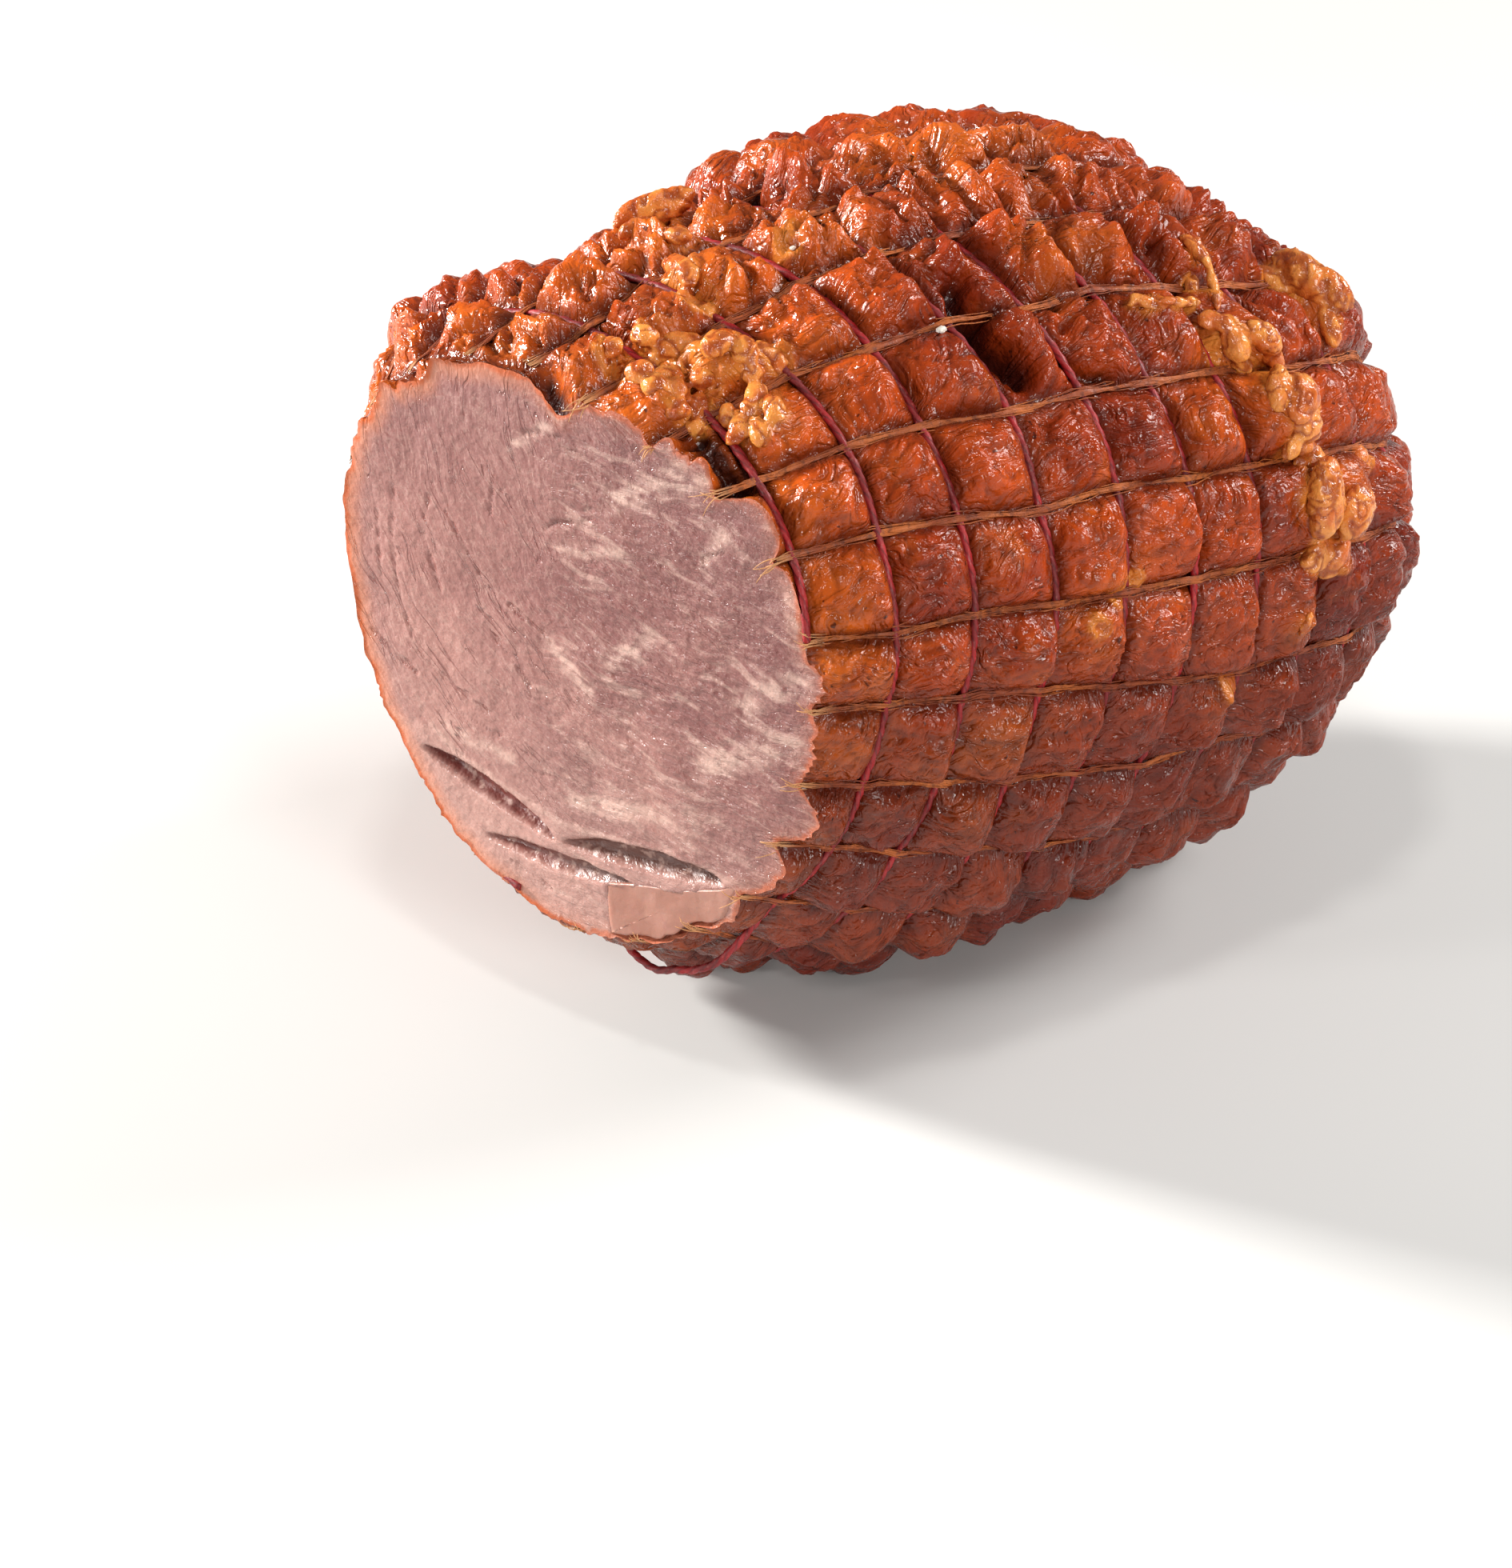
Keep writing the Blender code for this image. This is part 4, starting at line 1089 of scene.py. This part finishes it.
def unitBall():
    ball = bmesh.new()
    bmesh.ops.create_icosphere(ball, subdivisions=4, radius=1.0)
    points = np.array([v.co[:] for v in ball.verts])
    faces = np.array([[v.index for v in f.verts] for f in ball.faces])
    ball.free()
    return points, faces


ballPoints, ballFaces = unitBall()


# the displaced skin at one place, and its outward normal
def skinAt(row, strand):
    return skinLayers(np.array([row]), np.array([strand]))[0][0], netSurface(row, strand)[1]


# one lump: an uneven egg pressed into the skin
def lump(spec, place, seed):
    at, normal = skinAt(*place)
    lean = math.radians(spec[4])
    axes = []
    c, s = math.cos(lean), math.sin(lean)
    for flat in (eyeRight * c + eyeUp * s, eyeUp * c - eyeRight * s):
        lying = flat - normal * (flat @ normal)
        axes.append(lying / max(float(lying @ lying), 0.45))
    a, b = axes[0] * spec[2] * lobeSize, axes[1] * spec[3] * lobeSize
    high = 0.66 * min(np.linalg.norm(a), np.linalg.norm(b)) + 0.0003
    p = ballPoints * (1.0 + melt["uneven"] * noise(ballPoints * 1.3, seed)[:, None])
    longSide = 0 if spec[2] > spec[3] else 1
    bow = melt["bow"] * (p[:, longSide:longSide + 1] ** 2 - 0.3)
    shape = p[:, :1] * a + p[:, 1:2] * b + p[:, 2:] * normal * high - bow * normal * high
    return at + normal * high * melt["press"] + shape


# lumps of fat, melted together
def makeLobes(group):
    pairs = zip(lobes[group], lobePlaces[group])
    lumps = [lump(spec, place, 100 + k) for k, (spec, place) in enumerate(pairs)]
    faces = [ballFaces + len(ballPoints) * k for k in range(len(lumps))]
    item = meshObject("fatLobes." + group, np.vstack(lumps), np.vstack(faces))
    remesh = item.modifiers.new("melt", "REMESH")
    remesh.mode = "VOXEL"
    remesh.voxel_size = melt["voxel"]
    relax = item.modifiers.new("relax", "SMOOTH")
    relax.factor = melt["relax"]
    relax.iterations = melt["relaxRounds"]
    done = bpy.data.meshes.new_from_object(item.evaluated_get(bpy.context.evaluated_depsgraph_get()))
    item.modifiers.clear()
    item.data = done
    flat, out = np.empty(len(done.vertices) * 3, np.float32), np.empty(len(done.vertices) * 3, np.float32)
    done.vertices.foreach_get("co", flat)
    done.vertices.foreach_get("normal", out)
    spots = flat.reshape(-1, 3).astype(float)
    crease = folds(spots * 150.0 + 0.5 * noise(spots * 300.0, 72)[:, None], 71) - 0.75
    rise = melt["crease"] * np.minimum(crease, 0.1) + melt["grain"] * noise(spots * 800.0, 73)
    spots += out.reshape(-1, 3) * rise[:, None]
    # dip is 1 in the creases between the folds of fat, where the material paints shade
    layer = done.attributes.new("dip", "FLOAT", "POINT")
    layer.data.foreach_set("value", smooth(0.05, -0.45, crease).astype(np.float32))
    done.vertices.foreach_set("co", spots.astype(np.float32).ravel())
    done.update()
    done.polygons.foreach_set("use_smooth", np.full(len(done.polygons), True))
    print(item.name, "made,", len(done.polygons), "faces")
    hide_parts("ham_meat")
    return item


lobeObjects = [makeLobes(group) for group in lobes]

# by pixel: x, y, radius in metres
seasoning = {"peppercorn.a": (970, 203, 0.0014), "peppercorn.b": (978, 214, 0.0012),
             "salt.a": (1180, 407, 0.0011), "salt.b": (990, 307, 0.0007)}
saltShape = (1.0, 0.7, 0.5)


def makeGrain(name, px, py, radius, seed):
    at, normal = skinAt(*placeAt(px, py))
    size = radius * (1.0 + 0.16 * folds(ballPoints * 1.7, seed) + 0.10 * noise(ballPoints * 1.1, seed + 4))
    p = ballPoints
    if name.startswith("salt"):
        p = p / np.max(np.abs(p), axis=1)[:, None] ** 0.6 * np.array(saltShape)
    return meshObject(name, at + normal * radius * 0.6 + p * size[:, None], ballFaces)


grainObjects = [makeGrain(name, *spec, 60 + k) for k, (name, spec) in enumerate(seasoning.items())]
print("seasoning made")


class shaderTree:
    # short ways to add and join shader nodes
    def __init__(self, tree):
        self.tree = tree

    def node(self, kind, **values):
        n = self.tree.nodes.new(kind)
        for key, value in values.items():
            setattr(n, key, value)
        return n

    def link(self, a, b):
        self.tree.links.new(a, b)

    def fill(self, socket, value):
        if isinstance(value, bpy.types.NodeSocket):
            self.link(value, socket)
        else:
            socket.default_value = value

    def math(self, op, a, b=0.0):
        n = self.node("ShaderNodeMath", operation=op)
        self.fill(n.inputs[0], a)
        self.fill(n.inputs[1], b)
        return n.outputs[0]

    def times(self, a, b):
        return self.math("MULTIPLY", a, b)

    # 0 on the lines where the noise passes its middle, and more away from them
    def offMiddle(self, value):
        return self.math("ABSOLUTE", self.math("SUBTRACT", value, 0.5))

    def mix(self, share, a, b):
        n = self.node("ShaderNodeMix", data_type="RGBA")
        self.fill(n.inputs[0], share)
        self.fill(n.inputs[6], a)
        self.fill(n.inputs[7], b)
        return n.outputs[2]

    def mask(self, name):
        return self.node("ShaderNodeAttribute", attribute_name=name).outputs["Fac"]

    def steps(self, value, low, high, toLow=0.0, toHigh=1.0):
        n = self.node("ShaderNodeMapRange", interpolation_type="SMOOTHSTEP")
        self.fill(n.inputs[0], value)
        for k, v in enumerate((low, high, toLow, toHigh)):
            self.fill(n.inputs[1 + k], v)
        return n.outputs[0]

    # colours laid over one another: value, the range it fades in over, the share at its end, the colour
    def over(self, base, *rows):
        for value, low, high, most, tone in rows:
            base = self.mix(self.steps(value, low, high, 0.0, most), base, tone)
        return base

    # colours laid over one another: where, how strongly, the colour
    def tint(self, base, *rows):
        for where, share, tone in rows:
            base = self.mix(self.times(where, share), base, tone)
        return base

    def place(self):
        return self.node("ShaderNodeTexCoord").outputs["Object"]

    def noise(self, where, scale, detail=3.0, rough=0.55, distort=0.0):
        n = self.node("ShaderNodeTexNoise")
        words = ("Vector", "Scale", "Detail", "Roughness", "Distortion")
        for key, value in zip(words, (where, scale, detail, rough, distort)):
            self.fill(n.inputs[key], value)
        return n.outputs["Fac"]

    def stretch(self, x, y, sx, sy):
        n = self.node("ShaderNodeCombineXYZ")
        self.link(self.times(x, sx), n.inputs[0])
        self.link(self.times(y, sy), n.inputs[1])
        return n.outputs[0]

    def bump(self, height, strength, distance, before=None):
        n = self.node("ShaderNodeBump")
        n.inputs["Strength"].default_value = strength
        n.inputs["Distance"].default_value = distance
        self.link(height, n.inputs["Height"])
        if before is not None:
            self.link(before, n.inputs["Normal"])
        return n.outputs["Normal"]

    def group(self, tree, where, **values):
        n = self.node("ShaderNodeGroup", node_tree=tree)
        self.link(where, n.inputs["Where"])
        for key, v in values.items():
            n.inputs[key].default_value = v
        return n.outputs[0]


def newGroup(name, inputs, output):
    g = bpy.data.node_groups.new(name, "ShaderNodeTree")
    for word in inputs:
        kind = "NodeSocketVector" if word == "Where" else "NodeSocketFloat"
        g.interface.new_socket(word, in_out="INPUT", socket_type=kind)
    g.interface.new_socket(output, in_out="OUTPUT", socket_type="NodeSocketFloat")
    t = shaderTree(g)
    return g, t, t.node("NodeGroupInput").outputs, t.node("NodeGroupOutput").inputs


# uneven wetness that every piece shares
def wetGroup():
    g, t, given, out = newGroup("wetFlecks", ("Where", "Scale", "Low", "High"), "Roughness")
    flecks = t.noise(given["Where"], given["Scale"], 4.0, 0.5)
    t.link(t.steps(flecks, 0.35, 0.65, given["Low"], given["High"]), out["Roughness"])
    return g


# fine creases between soft swellings
def crinkleGroup():
    g, t, given, out = newGroup("crinkle", ("Where", "Scale", "Distortion"), "Height")
    waves = t.noise(given["Where"], given["Scale"], 1.5, 0.5, given["Distortion"])
    t.link(t.steps(t.offMiddle(waves), 0.0, 0.16), out["Height"])
    return g


wetFlecks = wetGroup()
crinkles = crinkleGroup()


# softness is how much light goes into the meat, how deep, and how deep for red, green and blue
def newMaterial(name, softness=(), **settings):
    m = bpy.data.materials.new(name)
    m.use_nodes = True
    shader = m.node_tree.nodes["Principled BSDF"]
    words = ("Subsurface Weight", "Subsurface Scale", "Subsurface Radius")
    for key, value in [*zip(words, softness), *settings.items()]:
        shader.inputs[key].default_value = value
    return m, shaderTree(m.node_tree), shader


def wetness(t, where, scale, low, high):
    return t.group(wetFlecks, where, Scale=scale, Low=low, High=high)


def joinUp(t, shader, base, roughness, relief):
    for key, value in (("Base Color", base), ("Roughness", roughness), ("Normal", relief)):
        t.link(value, shader.inputs[key])


# a colour as read on screen, 0 to 255
def colour(r, g, b):
    shares = [c / 255.0 for c in (r, g, b)]
    return tuple(c / 12.92 if c <= 0.0404 else ((c + 0.055) / 1.055) ** 2.4 for c in shares) + (1.0,)


def colours(**tones):
    return {name: colour(*tone) for name, tone in tones.items()}


skinColours = colours(
    mahogany=(136, 41, 13), chestnut=(186, 71, 18), caramel=(208, 86, 22), amber=(205, 98, 26),
    dark=(46, 12, 8), groove=(78, 24, 12), fat=(206, 122, 48), fatShade=(168, 76, 24), purple=(84, 22, 12))
# lowShade, creaseShade and grooveShade are the shares of painted shade on the underside, in the creases and
# in the grooves
skinFinish = {"softness": (0.06, 0.003, (1.0, 0.35, 0.15)), "wet": (240.0, 0.13, 0.30), "patchSize": 60.0,
              "lowShade": 0.68, "creaseShade": 0.58, "grooveShade": 0.78}


def skinMaterial():
    m, t, shader = newMaterial("smokedSkin", skinFinish["softness"], IOR=1.40)
    c = skinColours
    where = t.place()
    grain = t.stretch(t.mask("grainU"), t.mask("grainV"), 1.0, 0.40)
    patch = t.noise(where, skinFinish["patchSize"], 4.0, 0.6, 0.4)
    base = t.over(c["mahogany"],
                  (t.noise(where, 16.0), 0.36, 0.66, 1.0, c["chestnut"]),
                  (t.mask("tone"), 0.3, 1.0, 0.5, c["chestnut"]),
                  (t.mask("tone"), 0.7, 1.6, 0.7, c["caramel"]))
    base = t.tint(base, (t.mask("amber"), t.steps(patch, 0.30, 0.62, 0.35, 1.0), c["amber"]))
    base = t.over(base, (patch, 0.54, 0.74, 0.40, c["amber"]))
    # painted shade: dark purple-brown over the downward-facing underside
    base = t.tint(base, (t.mask("low"), skinFinish["lowShade"], c["purple"]))
    base = t.over(base, (t.noise(grain, 0.8, 3.0, 0.55, 0.8), 0.46, 0.75, 0.18, c["purple"]))
    # painted shade darkening the creases and the grooves beside the strings
    base = t.tint(base,
                  (t.mask("crease"), skinFinish["creaseShade"], c["dark"]),
                  (t.mask("groove"), skinFinish["grooveShade"], c["groove"]))
    # fat: darker mottle, and painted shade between the beads and round their feet
    fat = t.over(c["fat"],
                 (patch, 0.4, 0.7, 1.0, c["fatShade"]),
                 (t.mask("bead"), 0.75, 0.2, 0.8, c["fatShade"]))
    base = t.mix(t.mask("fat"), base, fat)
    # painted shade filling the tears and hollows, then small dark specks
    base = t.over(base,
                  (t.mask("hollow"), 0.30, 0.85, 0.92, c["dark"]),
                  (t.noise(where, 330.0, 2.0), 0.70, 0.76, 0.8, c["dark"]))
    relief = t.bump(t.noise(where, 210.0, 3.0, 0.5, 0.3), 0.8, 0.0014)
    relief = t.bump(t.group(crinkles, grain, Scale=0.38, Distortion=0.8), 0.6, 0.0007, relief)
    relief = t.bump(t.noise(where, 620.0, 2.0, 0.5, 0.4), 0.6, 0.0007, relief)
    joinUp(t, shader, base, wetness(t, where, *skinFinish["wet"]), relief)
    return m


cutColours = colours(
    pink=(156, 107, 99), rose=(122, 73, 70), pale=(188, 146, 135), cream=(212, 176, 162), glow=(202, 122, 82),
    rind=(178, 80, 28), inside=(104, 40, 33), insideGrey=(102, 64, 55), seam=(112, 58, 54))
cutFinish = {"softness": (0.12, 0.004, (1.0, 0.45, 0.35)), "wet": (300.0, 0.10, 0.34), "dryPockets": 0.22,
             "pocketShade": 0.96, "seamShade": 0.75, "lipShade": 0.35}


def cutMaterial():
    m, t, shader = newMaterial("cutMeat", cutFinish["softness"])
    c = cutColours
    where = t.place()
    u, v, left, up = t.mask("fibreAcross"), t.mask("fibreAlong"), t.mask("leftSide"), t.mask("cutUp")
    fibre = t.noise(t.stretch(u, v, 0.80, 0.26), 1.0, 2.0, 0.5, 0.6)
    grit = t.noise(where, 430.0, 2.0)
    wisp = t.noise(t.stretch(t.mask("cutAcross"), up, 0.07, 0.30), 1.0, 3.0, 0.5, 0.7)
    veins = t.offMiddle(t.noise(t.stretch(u, v, 0.24, 0.07), 1.0, 4.0, 0.66, 1.4))
    # thin dark lines between the bundles
    lines = t.offMiddle(t.noise(t.stretch(u, v, 0.13, 0.022), 1.0, 3.0, 0.62, 0.5))
    patchy = t.times(t.steps(t.noise(where, 55.0, 2.0), 0.42, 0.58), t.steps(left, 0.0, 0.7, 0.20, 0.7))
    seam = t.times(t.steps(lines, 0.012, 0.003), patchy)
    seam = t.times(seam, t.steps(t.mask("crescent"), 0.0, 1.0, 1.0, 0.15))
    broken = t.steps(t.noise(t.stretch(u, v, 0.5, 0.25), 1.0, 3.0, 0.6), 0.42, 0.60)
    seam = t.math("MAXIMUM", seam, t.times(t.mask("seam"), t.times(broken, 0.6)))
    base = t.over(c["rose"],
                  (t.noise(where, 26.0, 3.0, 0.5), 0.38, 0.64, 1.0, c["pink"]),
                  (left, 0.1, 1.0, 0.6, c["pink"]),
                  (up, 85.0, 165.0, 0.65, c["rose"]),
                  (up, 120.0, 30.0, 0.45, c["pale"]))
    base = t.tint(base, (t.mask("crescent"), 0.45, c["pale"]))
    base = t.over(base, (fibre, 0.48, 0.72, 0.14, c["pale"]), (fibre, 0.48, 0.30, 0.12, c["rose"]))
    streaks = t.steps(wisp, 0.53, 0.70, 0.0, 0.38)
    base = t.tint(base, (streaks, t.steps(left, 1.0, 0.0, 0.25, 1.0), c["cream"]))
    base = t.over(base, (veins, 0.020, 0.004, 0.18, c["cream"]), (grit, 0.58, 0.76, 0.16, c["cream"]))
    base = t.tint(base,
                  (t.mask("cloud"), t.steps(wisp, 0.34, 0.56, 0.16, 0.64), c["cream"]),
                  (seam, cutFinish["seamShade"], c["seam"]),
                  (t.mask("lip"), cutFinish["lipShade"], c["cream"]),
                  (t.mask("wedgeEdge"), 0.35, c["rose"]))
    # inside the pockets: the meat's darker colour, partly painted shade in the hollow
    inner = t.over(c["insideGrey"], (left, 0.05, 0.6, 1.0, c["inside"]), (grit, 0.52, 0.68, 0.4, c["cream"]))
    # painted glow of back light shining through the meat near the rim, strongest on the left
    rimGlow = t.steps(t.mask("edge"), 7.0, 0.0, 0.0, 0.65)
    base = t.tint(base,
                  (t.mask("pocket"), cutFinish["pocketShade"], inner),
                  (rimGlow, t.steps(left, 0.2, 1.0, 0.25, 1.0), c["glow"]))
    uneven = t.math("ADD", t.mask("edge"), t.times(t.noise(where, 190.0), -2.6))
    base = t.tint(base, (t.steps(uneven, 0.8, -0.9), t.steps(left, 0.0, 0.4, 0.62, 0.95), c["rind"]))
    dry = t.times(t.math("MAXIMUM", t.mask("pocket"), t.mask("lip")), cutFinish["dryPockets"])
    roughness = t.math("ADD", wetness(t, where, *cutFinish["wet"]), dry)
    level = t.noise(t.stretch(t.mask("cutAcross"), up, 0.20, 0.70), 1.0, 3.0, 0.6, 0.7)
    height = t.math("ADD", t.times(level, t.steps(left, 0.9, 0.1)), t.times(fibre, 0.3))
    relief = t.bump(t.times(seam, -1.0), 0.8, 0.0006, t.bump(height, 0.6, 0.0009))
    joinUp(t, shader, base, roughness, t.bump(grit, 0.7, 0.0006, relief))
    return m


# the plainer finishes
# mottle: noise scale, detail, range and two colours; over: noise settings or a mask, range, share and colour
# wet: scale of the flecks, least and most roughness; grain: noise scale, detail, strength and depth
finishes = {
    "paleFat": {"softness": (0.2, 0.005), "mottle": (90.0, 3.0, 0.4, 0.7, (160, 110, 94), (172, 124, 108)),
                "over": [((260.0, 4.0, 0.6, 0.6), 0.52, 0.72, 0.4, (156, 107, 99))],
                "wet": (300.0, 0.28, 0.5), "grain": (500.0, 3.0, 0.35, 0.0005)},
    "smokedFat": {"softness": (0.22, 0.004, (1.0, 0.5, 0.2)),
                  "mottle": (120.0, 3.0, 0.38, 0.66, (222, 142, 66), (194, 98, 38)),
                  "over": [((420.0, 3.0, 0.6, 0.5), 0.55, 0.72, 0.4, (160, 76, 28))],
                  "dip": (0.80, (146, 58, 18)), "crinkle": (620.0, 0.35, 0.00025),
                  "wet": (260.0, 0.12, 0.30), "grain": (330.0, 3.0, 0.4, 0.0006)},
    "redElastic": {"mottle": (90.0, 3.0, 0.35, 0.7, (112, 13, 16), (168, 24, 30)),
                   # painted shade in the grooves between the plies
                   "over": [("ply", 0.5, 0.0, 0.6, (48, 6, 10)),
                            ((900.0, 2.0), 0.6, 0.75, 0.35, (190, 110, 96))],
                   "wet": (500.0, 0.42, 0.7), "grain": (1800.0, 2.0, 0.4, 0.0003)},
    "smokedCotton": {"mottle": (60.0, 4.0, 0.35, 0.68, (136, 56, 16), (184, 98, 38)),
                     "over": [((600.0, 3.0), 0.46, 0.68, 0.6, (70, 24, 13)),
                              ("freshEnd", 0.25, 1.0, 0.7, (214, 160, 108))],
                     "wet": (400.0, 0.45, 0.75), "grain": (1500.0, 3.0, 0.5, 0.0004)},
    "peppercorn": {"mottle": (900.0, 3.0, 0.4, 0.65, (24, 16, 12), (56, 40, 30)),
                   "grain": (1600.0, 3.0, 0.5, 0.0003)},
    "salt": {"mottle": (900.0, 3.0, 0.4, 0.65, (222, 214, 202), (250, 246, 238)),
             "grain": (1600.0, 3.0, 0.5, 0.0003)},
}


def plainMaterial(name):
    f = finishes[name]
    m, t, shader = newMaterial(name, f.get("softness", ()), Roughness=0.55)
    where = t.place()
    size, detail, low, high, dark, light = f["mottle"]
    base = t.mix(t.steps(t.noise(where, size, detail), low, high), colour(*dark), colour(*light))
    for source, low, high, share, tone in f.get("over", []):
        value = t.mask(source) if isinstance(source, str) else t.noise(where, *source)
        base = t.over(base, (value, low, high, share, colour(*tone)))
    # painted shade in the creases of the fat lobes
    if "dip" in f:
        base = t.tint(base, (t.mask("dip"), f["dip"][0], colour(*f["dip"][1])))
    size, detail, strength, depth = f["grain"]
    relief = t.bump(t.noise(where, size, detail), strength, depth)
    if "crinkle" in f:
        size, strength, depth = f["crinkle"]
        relief = t.bump(t.group(crinkles, where, Scale=size, Distortion=0.6), strength, depth, relief)
    if "wet" in f:
        t.link(wetness(t, where, *f["wet"]), shader.inputs["Roughness"])
    t.link(base, shader.inputs["Base Color"])
    t.link(relief, shader.inputs["Normal"])
    return m


def dress(items, material):
    for item in items:
        item.data.materials.clear()
        item.data.materials.append(material)
        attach(item, "root")


for item in skinObjects:
    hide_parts("ham_meat")
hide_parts("ham_meat")
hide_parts("fat_wedge")
dress(skinObjects, skinMaterial())
dress([cutObject], cutMaterial())
dress([wedgeObject], plainMaterial("paleFat"))
dress(lobeObjects, plainMaterial("smokedFat"))
dress(elasticObjects, plainMaterial("redElastic"))
dress([cottonObject, tieObject], plainMaterial("smokedCotton"))
for kind in ("peppercorn", "salt"):
    dress([item for item in grainObjects if item.name.startswith(kind)], plainMaterial(kind))
print("materials made")

stage = {"floorSize": 6.0, "floorTones": ((0.56, 0.56, 0.55, 1.0), (0.59, 0.59, 0.58, 1.0)), "world": 0.18}
lights = {
    # position, size, power, colour
    "keyBehindLeft": ((-0.64, 1.40, 0.66), 0.24, 58.0, (1.0, 0.975, 0.94)),
    "sparkAbove": ((-0.35, -0.20, 1.60), 0.16, 5.0, (1.0, 0.98, 0.95)),
    "softRight": ((1.42, -0.72, 1.15), 0.75, 36.0, (1.0, 0.985, 0.97)),
    "glintLeft": ((-1.25, 0.50, 0.45), 0.12, 5.5, (1.0, 0.98, 0.96)),
    "fillFront": ((-0.45, -1.75, 0.80), 0.55, 20.0, (1.0, 0.985, 0.97)),
}


def makeFloor():
    mesh = bpy.data.meshes.new("floor")
    s = stage["floorSize"] / 2
    mesh.from_pydata([(-s, -s, 0), (s, -s, 0), (s, s, 0), (-s, s, 0)], [], [(0, 1, 2, 3)])
    m, t, shader = newMaterial("paleFloor", Roughness=0.75)
    tone = t.mix(t.steps(t.noise(t.place(), 3.0, 2.0), 0.3, 0.7), *stage["floorTones"])
    t.link(tone, shader.inputs["Base Color"])
    mesh.materials.append(m)
    addObject("floor", mesh)


def makeLights():
    aim = Vector(view["target"])
    for name, (spot, size, power, tint) in lights.items():
        data = bpy.data.lights.new(name, "AREA")
        data.energy, data.size, data.color = power, size, tint
        item = addObject(name, data)
        item.location = spot
        item.rotation_euler = (aim - Vector(spot)).to_track_quat("-Z", "Y").to_euler()
    world = bpy.data.worlds.new("studio")
    world.use_nodes = True
    back = world.node_tree.nodes["Background"]
    back.inputs["Color"].default_value = (1.0, 1.0, 1.0, 1.0)
    back.inputs["Strength"].default_value = stage["world"]
    bpy.context.scene.world = world


def makeCamera():
    data = bpy.data.cameras.new("camera")
    data.sensor_fit = "VERTICAL"
    data.sensor_height = 36.0
    data.lens = view["focalPixels"] / view["frame"][1] * data.sensor_height
    item = addObject("camera", data)
    turn = Matrix((eyeRight, eyeUp, eyeBack)).transposed().to_4x4()
    turn.translation = Vector(eye)
    item.matrix_world = turn
    bpy.context.scene.camera = item


makeFloor()
makeLights()
makeCamera()
bpy.context.scene.view_settings.view_transform = "Standard"
print("stage set")
